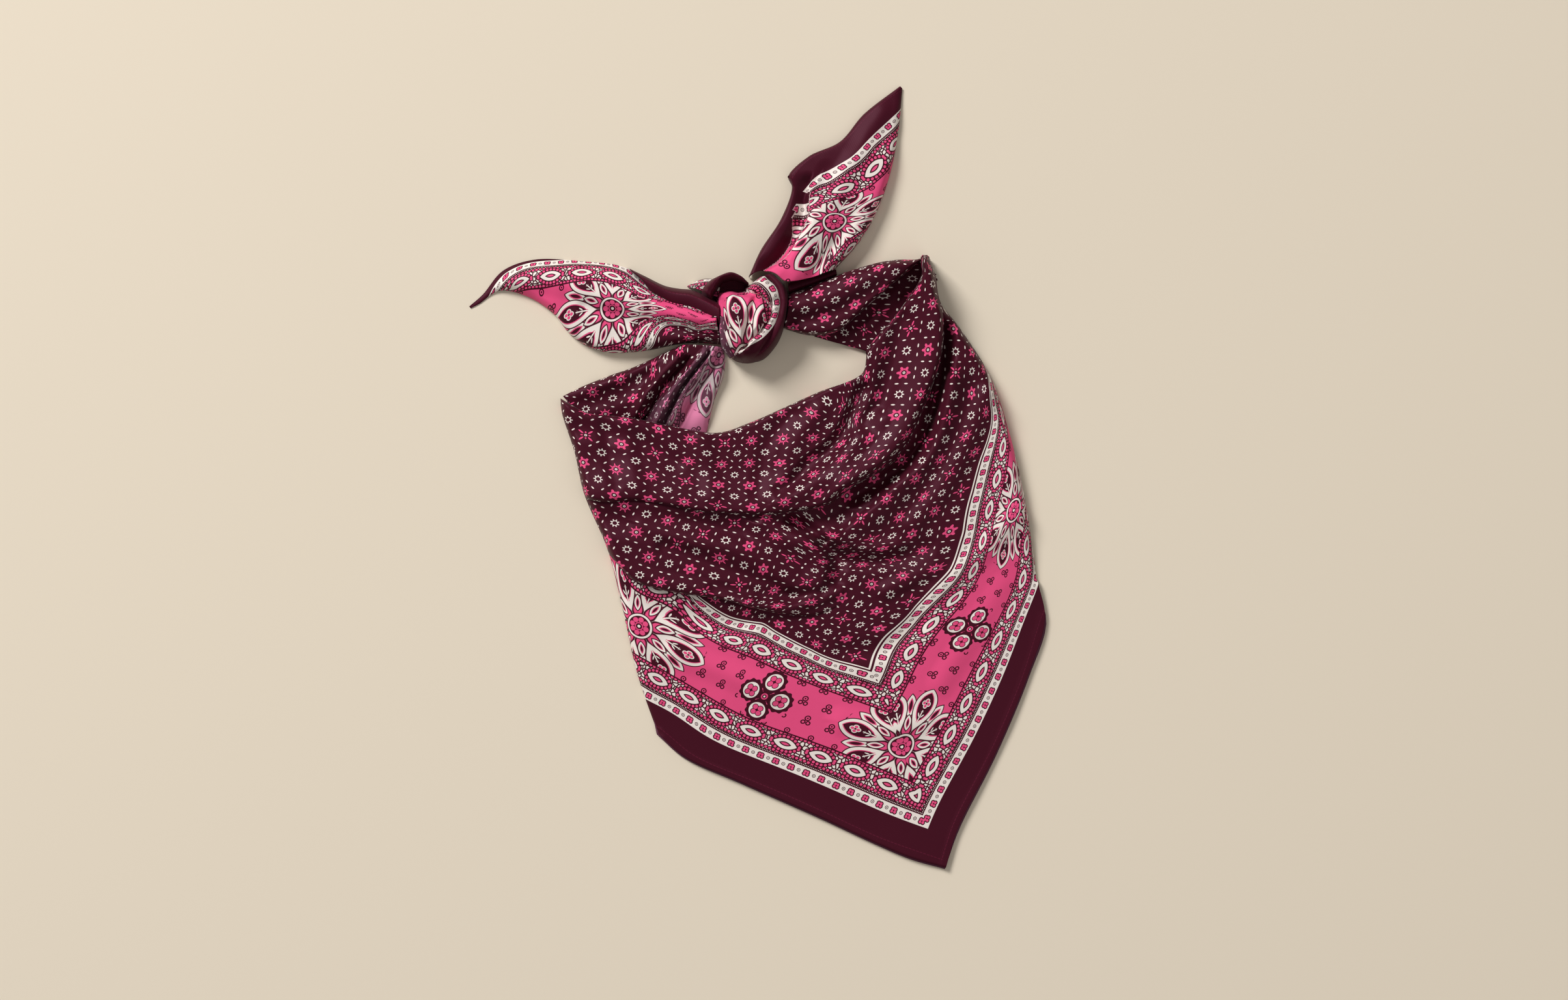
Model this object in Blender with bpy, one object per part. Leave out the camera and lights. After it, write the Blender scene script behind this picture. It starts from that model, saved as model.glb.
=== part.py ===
"""A square satin bandana, folded on the diagonal, knotted into a loop and laid flat.

Every stretch of cloth that shows is one wall. Its plan is a patch between four
edge curves, its height comes from a table of levels and a table of folds, and
its edges either roll under to the surface or end as a thin hem. The layers that
stay hidden inside a stretch are one rounded filling with a flat underside.

Tables are in millimetres, seen from above: x to the right, y up the view.
"""

import bpy
import numpy as np

MM = 0.001
CLOTH_SIDE = 560.0
WALL = 1.2
SEAM_GAP = 0.3
FILLING_GAP = 0.45
FILLING_RIM = 0.15
HEM_TOP = 2.7
HEM_WIDTH = 3.4
HEM_RISE = 0.4
HEM_PEEK = 0.8
HEM_EASE = 70.0
TAIL_ROLLED = 0.85
LOOP_ROWS = 6
ROLL_RADIUS = 5.0
ROLL_STEPS = (0.0, 0.08, 0.3, 0.62, 1.0)
MOST_SLANT = 0.7
SHARPEST_MITRE = -0.3
LOW_ROLL = 0.5
SPAN_SAMPLES = 10

PLUM = (0.070, 0.010, 0.028)
PLUM_REVERSE = (0.150, 0.058, 0.095)
PINK = (0.760, 0.051, 0.216)
PINK_REVERSE = (0.750, 0.195, 0.376)
SATIN_ROUGHNESS = 0.38
REVERSE_ROUGHNESS = 0.60

# Edge curves. Each is a list of (x, y) on the real outline.
NECK_EDGE = [(-106.7, 42.6), (-100, 38.8), (-92, 34.6), (-68, 32), (-44, 27), (-21, 24), (-5, 29), (31, 45), (57, 56)]
LOBE_LEFT = [(60.5, 70), (72, 84), (82.5, 97), (87, 106), (87.5, 114), (90.5, 119), (94, 118)]
BIB_LEFT = [(-106.7, 42.6), (-106, 35), (-99, 13), (-94, -9), (-81, -40), (-73, -72), (-65, -107), (-54, -139)]
BIB_HEM = [(-54, -139), (-39, -152), (-8, -166), (35, -185), (65, -199), (84, -207), (102.5, -212.2)]
BIB_RIGHT_ROLLED = [(94, 118), (97.5, 109), (99.5, 95), (110, 81), (127, 54), (138, 21), (146, -14), (152, -55)]
BIB_RIGHT_HEM = [(156.3, -77), (147, -108), (129, -151), (109, -191), (102.5, -212.2)]

STRAND_TOP = [(-105.4, 43.8), (-95, 49), (-80, 55), (-66, 60), (-49, 68), (-41, 71.6)]
STRAND_FLAP = [(-28, 25.6), (-23, 42), (-18.4, 54), (-17.2, 64), (-18.4, 70)]
STRAND_NECK = [(-105.4, 43.8), (-100, 40), (-92, 35.6), (-68, 32.8), (-44, 28.0), (-28, 25.6)]
STRAND_KNOT = [(-41, 71.6), (-30, 71), (-23, 70.6), (-18.4, 70)]

RIGHT_TOP = [(17, 99.4), (27, 103), (45, 110), (68, 117), (84.6, 118.8)]
RIGHT_LOWER = [(14.8, 80.4), (27, 77), (38, 77), (46, 80), (53, 86), (63, 96), (75, 106), (85.8, 111.5)]
RIGHT_KNOT = [(17, 99.4), (17, 91), (14.8, 80.4)]
RIGHT_LOBE = [(84.6, 118.8), (85.8, 115), (85.8, 111.5)]
UNDER_TOP = [(41, 76), (46.6, 79.2), (53.6, 85.2), (63.6, 95.2), (75.4, 105.2), (85.8, 110.7)]
UNDER_LOWER = [(42, 74), (50, 71.5), (58.4, 70.4), (71, 84.9), (82, 97.8), (86.4, 105.8)]

TAIL_LEFT_UPPER = [(-21.8, 94), (-36, 100), (-54, 104), (-72, 114), (-94, 117), (-121, 118),
                   (-138, 112), (-149, 99), (-156.3, 92.6)]
TAIL_LEFT_LOWER = [(-19.6, 72), (-38, 72.5), (-64, 68), (-84, 68), (-100, 76), (-111, 89),
                   (-125, 98), (-140, 101), (-151, 94), (-155.6, 91.6)]
TAIL_LEFT_KNOT = [(-21.8, 94), (-21.5, 83), (-19.6, 72)]
TAIL_LEFT_TIP = [(-156.3, 92.6), (-155.6, 91.6)]
TAIL_RIGHT_LEFT = [(-4.6, 108.4), (2, 123), (13, 140), (19, 157), (17, 163), (28, 174), (45, 182),
                   (58, 197), (77.6, 212.2)]
TAIL_RIGHT_RIGHT = [(42, 112.2), (56, 128), (66, 146), (73, 167), (77, 189), (79, 211)]
TAIL_RIGHT_KNOT = [(-4.6, 108.4), (3, 111.4), (10, 109.4), (15, 105.4), (20, 105.2), (31, 108), (42, 112.2)]
TAIL_RIGHT_TIP = [(77.6, 212.2), (79, 211)]

KNOT_LEFT = [(-19, 104), (-21, 93), (-20.4, 77), (-15, 65.5)]
KNOT_RIGHT = [(9, 107.8), (14.6, 102), (16.5, 92), (13.5, 79), (6, 67.5)]
KNOT_TOP = [(-19, 104), (-13, 108.5), (-5, 106.2), (3, 109.6), (9, 107.8)]
KNOT_BOTTOM = [(-15, 65.5), (-11, 62.6), (-4, 61.6), (2, 63.6), (6, 67.5)]
LACE_TUCK_TOP = [(-38, 103.6), (-31, 107), (-25, 107.6), (-19.8, 105)]
LACE_TUCK_LOWER = [(-37, 102.8), (-31, 101.4), (-25, 98.6), (-20.8, 97.2)]
STRAND_ROLL_TOP = [(17.5, 102.6), (21, 104), (31, 106.8), (41, 111)]
STRAND_ROLL_LOWER = [(17.6, 100.4), (22, 102.2), (31, 105.6), (41.4, 109.8)]

# Levels: the height of the crest over the surface. A row for each place along
# the stretch, a column for each place across it, both evenly spaced.
BIB_LEVELS = [
    (8.0, 9.0, 9.5, 13.0, 19.0),
    (9.0, 10.0, 11.0, 12.0, 13.0),
    (8.5, 9.0, 9.5, 9.5, 9.0),
    (7.5, 7.0, 7.0, 7.0, 7.0),
    (6.5, 6.0, 5.5, 5.0, 4.5),
    (4.5, 4.0, 3.5, 3.0, 2.7),
]
STRAND_LEVELS = [(5.0, 5.5, 6.0, 5.0, 3.5), (6.0, 8.0, 8.0, 6.0, 3.5), (8.5, 10.0, 10.0, 8.5, 6.0)]
RIGHT_LEVELS = [(11.0, 12.0, 13.0, 14.0, 16.0), (13.0, 13.5, 13.5, 14.0, 16.0), (10.0, 11.0, 12.0, 14.0, 16.0)]
TAIL_LEFT_LEVELS = [
    (12.0, 9.0, 8.0, 7.0, 5.5, 2.7),
    (15.0, 11.0, 9.0, 8.0, 6.0, 2.7),
    (12.0, 9.0, 8.0, 7.0, 5.0, 2.7),
]
TAIL_RIGHT_LEVELS = [
    (14.0, 10.0, 8.0, 5.5, 3.5, 2.7),
    (16.0, 12.0, 10.0, 8.0, 5.0, 2.7),
    (12.0, 10.0, 9.0, 8.0, 5.0, 2.7),
]
KNOT_LEVELS = [(17.0, 20.0, 19.0, 16.0), (20.0, 23.0, 22.0, 18.0), (19.0, 22.5, 22.0, 17.0), (15.0, 17.0, 17.0, 14.0)]

# Folds: name, rise at the start and at the end of its run, width to the left
# and to the right of the run, and the run itself. A negative rise is a hollow.
BIB_FOLDS = [
    ("lobe crest", 2.0, 3.0, 14, 7, [(92, 108), (94, 86), (90, 62), (80, 32), (66, 10), (48, -2)]),
    ("lobe hollow", -2.0, -2.5, 9, 9, [(108, 72), (104, 46), (92, 20), (74, -4)]),
    ("cowl lip", 2.5, 2.5, 30, 7, [(52, -8), (24, -17), (-6, -18), (-36, -16), (-66, -10), (-94, -12)]),
    ("cowl drop", -1.6, -1.2, 12, 16, [(40, -24), (3, -31), (-36, -28), (-90, -24)]),
    ("shoulder", 2.0, 2.4, 9, 9, [(124, 44), (112, 14), (88, -10), (60, -24)]),
    ("long diagonal", 2.2, 1.0, 9, 7, [(100, 30), (78, 8), (46, -12), (20, -42), (14, -62)]),
    ("middle wave", 2.0, 1.4, 10, 7, [(-30, -30), (10, -38), (34, -54), (46, -74)]),
    ("left pleat", 2.2, 1.2, 16, 4, [(-4, -70), (-34, -64), (-58, -59), (-72, -51), (-81, -41)]),
    ("left pleat drop", -2.0, -1.2, 10, 10, [(-8, -78), (-38, -73), (-62, -68), (-77, -56)]),
    ("belly wave", 1.8, 1.8, 12, 10, [(-16, -66), (14, -74), (44, -68), (66, -56)]),
    ("corner trough", -1.2, -1.2, 10, 10, [(48, -94), (70, -93), (88, -78)]),
    ("right streak", 1.6, 1.0, 10, 8, [(140, -20), (118, -44), (96, -62)]),
    ("border wave left", 1.4, 1.2, 10, 10, [(-46, -96), (-18, -106), (8, -118)]),
    ("border wave low", 1.2, 1.0, 12, 9, [(46, -134), (66, -138), (88, -134)]),
    ("border wave right", 1.2, 1.0, 10, 10, [(134, -60), (118, -84), (100, -112)]),
]
STRAND_FOLDS = [
    ("first pleat", 4.0, 3.5, 5, 5, [(-65, 33), (-58, 46), (-48, 58), (-38, 66)]),
    ("first gap", -3.0, -3.0, 4, 4, [(-58, 32), (-52, 46), (-43, 57), (-34, 67)]),
    ("second pleat", 3.0, 2.5, 4, 4, [(-53, 31), (-46, 46), (-38, 58), (-31, 67)]),
    ("third pleat", 2.5, 2.0, 3.5, 3.5, [(-47, 30), (-39, 46), (-32, 58), (-27, 67)]),
    ("strand crease", -1.6, -2.0, 7, 7, [(-92, 38), (-74, 46), (-54, 60)]),
]
RIGHT_FOLDS = [
    ("strand ridge", 2.0, 1.5, 7, 9, [(18, 92), (38, 97), (60, 106), (82, 116)]),
    ("strand hollow", -2.4, -1.0, 6, 6, [(18, 85), (34, 86), (50, 93), (66, 104)]),
]
TAIL_LEFT_FOLDS = [
    ("tail ridge", 3.0, 1.5, 9, 12, [(-24, 84), (-48, 90), (-74, 96), (-104, 104), (-130, 108)]),
    ("tail hollow", -2.6, -1.4, 7, 7, [(-24, 77), (-46, 81), (-70, 84), (-92, 92)]),
    ("tail gather", -2.0, -1.0, 4, 4, [(-24, 88), (-40, 93), (-56, 97)]),
]
TAIL_RIGHT_FOLDS = [
    ("tail ridge", 2.5, 1.6, 9, 9, [(20, 110), (32, 130), (42, 152), (54, 174), (68, 198)]),
    ("tail hollow", -2.4, -1.2, 7, 7, [(8, 113), (20, 132), (30, 150), (38, 166)]),
    ("tail gather", -2.2, -1.0, 5, 5, [(30, 109), (42, 126), (52, 142)]),
]
KNOT_FOLDS = [
    ("wrap ridge", 2.0, 1.2, 6, 6, [(-14, 102), (-12, 88), (-9, 74), (-6, 64)]),
    ("wrap crease", -2.4, -1.0, 3.5, 3.5, [(-8, 101), (-3, 92), (-3, 80), (-5, 68)]),
    ("wrap gather", -1.4, -1.8, 3, 3, [(-17, 80), (-12, 72), (-8, 64)]),
    ("turn ridge", 1.6, 1.6, 4, 4, [(10, 102), (12, 90), (8, 78), (1, 68)]),
]


def smooth_curve(points, fractions):
    """Points at fractions of the length of the smooth curve through a list of points."""
    knots = np.array(points, dtype=float)
    if len(knots) == 2:
        return knots[0] + np.outer(fractions, knots[1] - knots[0])
    ends = np.vstack([2 * knots[0] - knots[1], knots, 2 * knots[-1] - knots[-2]])
    times = np.concatenate([[0.0], np.cumsum(np.linalg.norm(np.diff(ends, axis=0), axis=1) ** 0.5)])
    dense = [knots[0]]
    for i in range(1, len(ends) - 2):
        t = np.linspace(times[i], times[i + 1], SPAN_SAMPLES + 1)[1:, None]
        a = blend(ends[i - 1], ends[i], times[i - 1], times[i], t)
        b = blend(ends[i], ends[i + 1], times[i], times[i + 1], t)
        c = blend(ends[i + 1], ends[i + 2], times[i + 1], times[i + 2], t)
        d = blend(a, b, times[i - 1], times[i + 1], t)
        e = blend(b, c, times[i], times[i + 2], t)
        dense.extend(blend(d, e, times[i], times[i + 1], t))
    dense = np.array(dense)
    length = np.concatenate([[0.0], np.cumsum(np.linalg.norm(np.diff(dense, axis=0), axis=1))])
    length /= length[-1]
    return np.stack([np.interp(fractions, length, dense[:, k]) for k in (0, 1)], axis=-1)


def blend(a, b, time_a, time_b, t):
    """The straight blend of a at time_a and b at time_b."""
    return a + (b - a) * (t - time_a) / (time_b - time_a)


def patch_plan(sides, across, along):
    """The Coons patch of four edge curves: its rows run along, its columns across."""
    top, bottom = (smooth_curve(sides[k], across)[None, :] for k in ("top", "bottom"))
    left, right = (smooth_curve(sides[k], along)[:, None] for k in ("left", "right"))
    u, v = across[None, :, None], along[:, None, None]
    corners = (1 - u) * ((1 - v) * left[:1] + v * left[-1:]) + u * ((1 - v) * right[:1] + v * right[-1:])
    return (1 - v) * top + v * bottom + (1 - u) * left + u * right - corners


def distance_to_run(plan, run, with_square=False):
    """For each point: distance to a run, side of it, place along it and, if asked, square to it."""
    best = np.full(plan.shape[:-1], np.inf)
    side = np.ones_like(best)
    place = np.zeros_like(best)
    square = np.zeros_like(plan)
    steps = len(run) - 1
    for i in range(steps):
        step = run[i + 1] - run[i]
        away = plan - run[i]
        t = np.clip(away @ step / max(step @ step, 1e-9), 0, 1)
        gap = np.linalg.norm(away - t[..., None] * step, axis=-1)
        closer = gap < best
        best = np.where(closer, gap, best)
        side = np.where(closer, np.sign(step[0] * away[..., 1] - step[1] * away[..., 0]), side)
        place = np.where(closer, (i + t) / steps, place)
        left_of_step = np.array([-step[1], step[0]]) / max(np.linalg.norm(step), 1e-9)
        square = np.where(closer[..., None], left_of_step, square)
    return (best, side, place, square) if with_square else (best, side, place)


def fold_height(plan, folds):
    """The sum of the folds: each is a cosine bell across its run, wider on one side."""
    total = np.zeros(plan.shape[:-1])
    for _, rise_start, rise_end, width_left, width_right, points in folds:
        run = smooth_curve(points, np.linspace(0, 1, 25))
        gap, side, place = distance_to_run(plan, run)
        width = np.where(side > 0, width_left, width_right)
        bell = 0.5 * (1 + np.cos(np.pi * np.clip(gap / width, 0, 1)))
        total += bell * (rise_start + (rise_end - rise_start) * place)
    return total


def level_height(levels, across, along):
    """The table of levels, eased between its rows and its columns."""
    table = np.array(levels, dtype=float)
    for axis, places in ((0, along), (1, across)):
        spot = places * (table.shape[axis] - 1)
        low = np.clip(spot.astype(int), 0, table.shape[axis] - 2)
        share = spot - low
        share = share * share * (3 - 2 * share)
        share = share[:, None] if axis == 0 else share[None, :]
        table = np.take(table, low, axis) * (1 - share) + np.take(table, low + 1, axis) * share
    return table


def edge_weights(count, roll_start, roll_end, size):
    """Places from 0 to 1, with close lines inside the roll at an end that has one."""
    close = np.array(ROLL_STEPS) * ROLL_RADIUS / size
    first = close[:-1] if roll_start else np.zeros(1)
    last = (1 - close[:-1])[::-1] if roll_end else np.ones(1)
    low = close[-1] if roll_start else 0.0
    high = 1 - close[-1] if roll_end else 1.0
    middle = np.linspace(low, high, count)
    return np.unique(np.round(np.concatenate([first, middle, last]), 6))


def stretch(sides, levels, folds, lines, sizes, rolls, hem=None, hem_ease=HEM_EASE):
    """A stretch of cloth: its plan, crest height and the roll of its edges, all as grids.

    lines: how many columns and rows. sizes: width and length, for the close lines.
    rolls: side name to the part of it that rolls under, as two fractions.
    hem: side name to the part of it that ends as a hem lying on the surface.
    """
    across = edge_weights(lines[0], "left" in rolls, "right" in rolls, sizes[0])
    along = edge_weights(lines[1], "top" in rolls, "bottom" in rolls, sizes[1])
    plan = patch_plan(sides, across, along)
    crest = level_height(levels, across, along) + fold_height(plan, folds)
    for name, part in (hem or {}).items():
        run = smooth_curve(sides[name], np.linspace(part[0], part[1], 80))
        gap = distance_to_run(plan, run)[0]
        share = np.clip(gap / hem_ease, 0, 1)
        share = share * share * (3 - 2 * share)
        crest = HEM_TOP + (crest - HEM_TOP) * share + HEM_RISE * (gap < HEM_WIDTH)
    places = {"top": across, "bottom": across, "left": along, "right": along}
    rows = {"top": np.s_[0, :], "bottom": np.s_[-1, :], "left": np.s_[:, 0], "right": np.s_[:, -1]}
    ground = np.zeros(crest.shape, dtype=bool)
    edges = []
    for name, (start, end) in rolls.items():
        run = smooth_curve(sides[name], np.linspace(start, end, 80))
        gap, side, _, square = distance_to_run(plan, run, True)
        edges.append((np.clip(gap / ROLL_RADIUS, 0, 1), square * np.sign(side.sum())))
        inside = (places[name] >= start - 1e-6) & (places[name] <= end + 1e-6)
        ground[rows[name]] |= inside
    roll, inward = rolled_edges(edges)
    for name in rolls:
        ground[rows[name]] |= roll[rows[name]] < LOW_ROLL
    upright = np.cross(*np.gradient(np.dstack([plan, crest]), axis=(0, 1)))
    upright = np.abs(upright[..., 2]) / np.linalg.norm(upright, axis=-1)
    return {
        "plan": plan,
        "crest": crest,
        "roll": np.where(ground, 0.0, roll),
        "inward": inward,
        "ground": ground,
        "slant": 1 / np.maximum(upright, MOST_SLANT),
    }


def rolled_edges(edges):
    """How far the rolled edges lower the crest, and which way a deeper layer draws in.

    Each edge gives its distance in roll radii and its direction inward. Only the two
    nearest edges count, and in a corner they are mitred.
    """
    gaps = np.stack([gap for gap, _ in edges])
    squares = np.stack([square for _, square in edges])
    order = np.argsort(gaps, axis=0)[:2]
    gaps = np.take_along_axis(gaps, order, 0)
    squares = np.take_along_axis(squares, order[..., None], 0)
    drops = np.sqrt(np.maximum(1 - (1 - gaps) ** 2, 0))
    weights = 1 - gaps
    agree = np.maximum(np.sum(squares[0] * squares[1], axis=-1), SHARPEST_MITRE)
    roll = drops[0] * drops[1] ** (1 - np.maximum(agree, 0))
    inward = weights[0][..., None] * squares[0] + weights[1][..., None] * squares[1]
    return roll, inward / (1 + weights[0] * weights[1] * agree)[..., None]


def layer(cloth, depth, rim=0.0):
    """The grid at a depth under the outer surface; rim is its least height, and its edge's."""
    plan = cloth["plan"] + depth * cloth["inward"]
    height = cloth["roll"] * (cloth["crest"] - depth * cloth["slant"])
    height = np.where(cloth["ground"], rim, np.maximum(height, rim))
    return np.dstack([plan, height])


def turn_direction(grid):
    """1 where a grid's rows and columns make its faces look up, -1 where they look down."""
    down = np.gradient(grid[..., :2], axis=0)
    right = np.gradient(grid[..., :2], axis=1)
    return np.sign((down[..., 0] * right[..., 1] - down[..., 1] * right[..., 0]).sum())


def grid_loop(rows, columns):
    """Indices of the points round the edge of a grid, in order."""
    index = np.arange(rows * columns).reshape(rows, columns)
    return [*index[0, :-1], *index[:-1, -1], *index[-1, :0:-1], *index[:0:-1, 0]]


def make_solid(name, outer, inner, material):
    """A closed solid between two grids, or between a grid and its flat foot where inner is None."""
    rows, columns = outer.shape[:2]
    index = np.arange(rows * columns).reshape(rows, columns)
    loop = grid_loop(rows, columns)
    points = [outer.reshape(-1, 3)]
    faces = []
    for i in range(rows - 1):
        for j in range(columns - 1):
            faces.append((index[i, j], index[i + 1, j], index[i + 1, j + 1]))
            faces.append((index[i, j], index[i + 1, j + 1], index[i, j + 1]))
    base = rows * columns
    if inner is None:
        foot = outer.reshape(-1, 3)[loop].copy()
        foot[:, 2] = 0
        points.append(foot)
        other = [base + k for k in range(len(loop))]
        faces.append(tuple(other))
    else:
        points.append(inner.reshape(-1, 3))
        other = [base + k for k in loop]
        faces += [tuple(base + k for k in reversed(face)) for face in faces]
    for k in range(len(loop)):
        after = (k + 1) % len(loop)
        faces.append((loop[k], loop[after], other[after], other[k]))
    if turn_direction(outer) < 0:
        faces = [tuple(reversed(face)) for face in faces]
    mesh = bpy.data.meshes.new(name)
    mesh.from_pydata((np.vstack(points) * MM).tolist(), [], [tuple(int(i) for i in f) for f in faces])
    mesh.materials.append(material)
    item = bpy.data.objects.new(name, mesh)
    bpy.data.collections["bandana"].objects.link(item)
    return item


def drawn_in(grid, columns, rows=(0, None), first=False, last=False):
    """Part of a grid, its first or last column drawn in by half a seam gap."""
    part = grid[rows[0] : rows[1], columns[0] : columns[1]].copy()
    for wanted, edge, inner in ((first, 0, 1), (last, -1, -2)):
        if wanted:
            step = part[:, inner] - part[:, edge]
            size = np.linalg.norm(step[:, :2], axis=-1, keepdims=True)
            part[:, edge] += step * np.minimum(0.5 * SEAM_GAP / np.maximum(size, 1e-6), 0.5)
    return part


def wall_faces(cloth, lift=0.0):
    """The outer and inner grids of a wall, moved out by lift from the panel it follows."""
    return layer(cloth, -lift), layer(cloth, WALL - lift)


def filling_top(cloth, peek_rows=()):
    """Top of the hidden layers under a wall; they peek out past a hem in the rows named."""
    top = layer(cloth, WALL + FILLING_GAP, FILLING_RIM)
    for row, inner in peek_rows:
        step = top[row][..., :2] - top[inner][..., :2]
        size = np.linalg.norm(step, axis=-1, keepdims=True)
        free = np.linalg.norm(cloth["inward"][row], axis=-1, keepdims=True) < 0.01
        top[row][..., :2] += np.where(free, HEM_PEEK * step / np.maximum(size, 1e-6), 0)
    return top


def satin(name, colour, roughness):
    """Plain cloth: colour, roughness and no metal."""
    material = bpy.data.materials.new(name)
    material.use_nodes = True
    shader = material.node_tree.nodes["Principled BSDF"]
    shader.inputs["Base Color"].default_value = (*colour, 1)
    shader.inputs["Roughness"].default_value = roughness
    shader.inputs["Metallic"].default_value = 0
    material.diffuse_color = (*colour, 1)
    return material


def clear_scene():
    for item in list(bpy.data.objects):
        bpy.data.objects.remove(item, do_unlink=True)
    bpy.context.scene.collection.children.link(bpy.data.collections.new("bandana"))


def add_bib():
    """The wide triangle: its front layer, and the layers behind it."""
    sides = {
        "top": NECK_EDGE + LOBE_LEFT,
        "bottom": BIB_HEM,
        "left": BIB_LEFT,
        "right": BIB_RIGHT_ROLLED + BIB_RIGHT_HEM,
    }
    rolled = len_share(BIB_RIGHT_ROLLED, BIB_RIGHT_HEM)
    rolls = {"top": (0, 1), "left": (0, 1), "right": (0, rolled)}
    hem = {"bottom": (0, 1), "right": (rolled, 1)}
    cloth = stretch(sides, BIB_LEVELS, BIB_FOLDS, (24, 24), (210, 255), rolls, hem)
    make_solid("bib_front", *wall_faces(cloth), satin("bib_front", PLUM, SATIN_ROUGHNESS))
    hem_rows = ((np.s_[-1, :], np.s_[-2, :]), (np.s_[:, -1], np.s_[:, -2]))
    top = filling_top(cloth, hem_rows)
    make_solid("bib_layers", top, None, satin("bib_layers", PLUM_REVERSE, REVERSE_ROUGHNESS))


def len_share(first, second):
    """The share of a joined edge curve's length that its first list takes up."""
    joined = smooth_curve(first + second, np.linspace(0, 1, 400))
    meet = np.argmin(np.linalg.norm(joined - np.array(second[0]), axis=1))
    return meet / 399


def add_left_strand():
    """From the left corner up to the knot: plum face, gathered pleats, turned-back flap."""
    sides = {"top": STRAND_NECK, "bottom": STRAND_KNOT, "left": STRAND_TOP, "right": STRAND_FLAP}
    rolls = {"left": (0, 1), "right": (0, 1)}
    cloth = stretch(sides, STRAND_LEVELS, STRAND_FOLDS, (15, 9), (60, 50), rolls)
    far, near = wall_faces(cloth)
    count = far.shape[1]
    seams = (0, round(0.5 * count), round(0.68 * count), count)
    parts = (
        ("neck_left", PLUM, SATIN_ROUGHNESS),
        ("neck_left_pleats", PLUM_REVERSE, REVERSE_ROUGHNESS),
        ("neck_left_flap", PINK_REVERSE, REVERSE_ROUGHNESS),
    )
    for k, (name, colour, roughness) in enumerate(parts):
        columns = (seams[k], min(seams[k + 1] + 1, count))
        ends = {"first": k > 0, "last": k < 2}
        faces = [drawn_in(grid, columns, **ends) for grid in (far, near)]
        make_solid(name, *faces, satin(name, colour, roughness))
    top = filling_top(cloth)
    make_solid("neck_left_layers", top, None, satin("neck_left_layers", PLUM_REVERSE, REVERSE_ROUGHNESS))


def add_right_strand():
    """From the knot to the lobe, with the low layer in the hollow and the thin roll above."""
    sides = {"top": RIGHT_TOP, "bottom": RIGHT_LOWER, "left": RIGHT_KNOT, "right": RIGHT_LOBE}
    rolls = {"top": (0, 1), "bottom": (0, 1)}
    cloth = stretch(sides, RIGHT_LEVELS, RIGHT_FOLDS, (14, 6), (80, 26), rolls)
    make_solid("neck_right", *wall_faces(cloth), satin("neck_right", PLUM, SATIN_ROUGHNESS))
    top = filling_top(cloth)
    make_solid("neck_right_layers", top, None, satin("neck_right_layers", PLUM_REVERSE, REVERSE_ROUGHNESS))
    add_low_piece("neck_right_under", UNDER_TOP, UNDER_LOWER, (12, 4), (1.8, 3.0, 2.4), PLUM)
    add_low_piece("neck_right_roll", STRAND_ROLL_TOP, STRAND_ROLL_LOWER, (8, 3), (2.0, 3.0, 2.0), PLUM)


def add_low_piece(name, upper, lower, lines, heights, colour):
    """A narrow piece that lies on the surface between two edge curves."""
    along = np.linspace(0, 1, lines[0])
    first, second = smooth_curve(upper, along), smooth_curve(lower, along)
    share = np.linspace(0, 1, lines[1])[:, None, None]
    plan = first[None] * (1 - share) + second[None] * share
    height = np.interp(share[:, 0, 0], (0, 0.5, 1), heights)[:, None] * np.ones(lines[0])
    make_solid(name, np.dstack([plan, height]), None, satin(name, colour, SATIN_ROUGHNESS))


def add_tail(name, sides, levels, folds, lines, sizes, hem_ease, turn):
    """A free corner of the cloth with its hidden layers and the hem turned over its edge."""
    rolls = {"top": (0, TAIL_ROLLED), "bottom": (0, TAIL_ROLLED)}
    hem = {"right": (0, 1)}
    cloth = stretch(sides, levels, folds, lines, sizes, rolls, hem, hem_ease)
    make_solid(name, *wall_faces(cloth), satin(name, PINK, SATIN_ROUGHNESS))
    layers = name + "_layers"
    make_solid(layers, filling_top(cloth), None, satin(layers, PLUM_REVERSE, REVERSE_ROUGHNESS))
    columns, rows = turn
    far, near = wall_faces(cloth, WALL + SEAM_GAP)
    piece = name + "_turn"
    grids = [grid[rows[0] : rows[1], columns[0] : columns[1]] for grid in (far, near)]
    make_solid(piece, *grids, satin(piece, PLUM, SATIN_ROUGHNESS))


def add_tails():
    left = {"top": TAIL_LEFT_UPPER, "bottom": TAIL_LEFT_LOWER, "left": TAIL_LEFT_KNOT, "right": TAIL_LEFT_TIP}
    right = {"top": TAIL_RIGHT_LEFT, "bottom": TAIL_RIGHT_RIGHT, "left": TAIL_RIGHT_KNOT, "right": TAIL_RIGHT_TIP}
    add_tail("tail_left", left, TAIL_LEFT_LEVELS, TAIL_LEFT_FOLDS, (22, 6), (150, 34), 40, ((0, 8), (1, 6)))
    add_tail("tail_right", right, TAIL_RIGHT_LEVELS, TAIL_RIGHT_FOLDS, (22, 6), (130, 34), 40, ((1, 11), (1, 6)))


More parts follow.
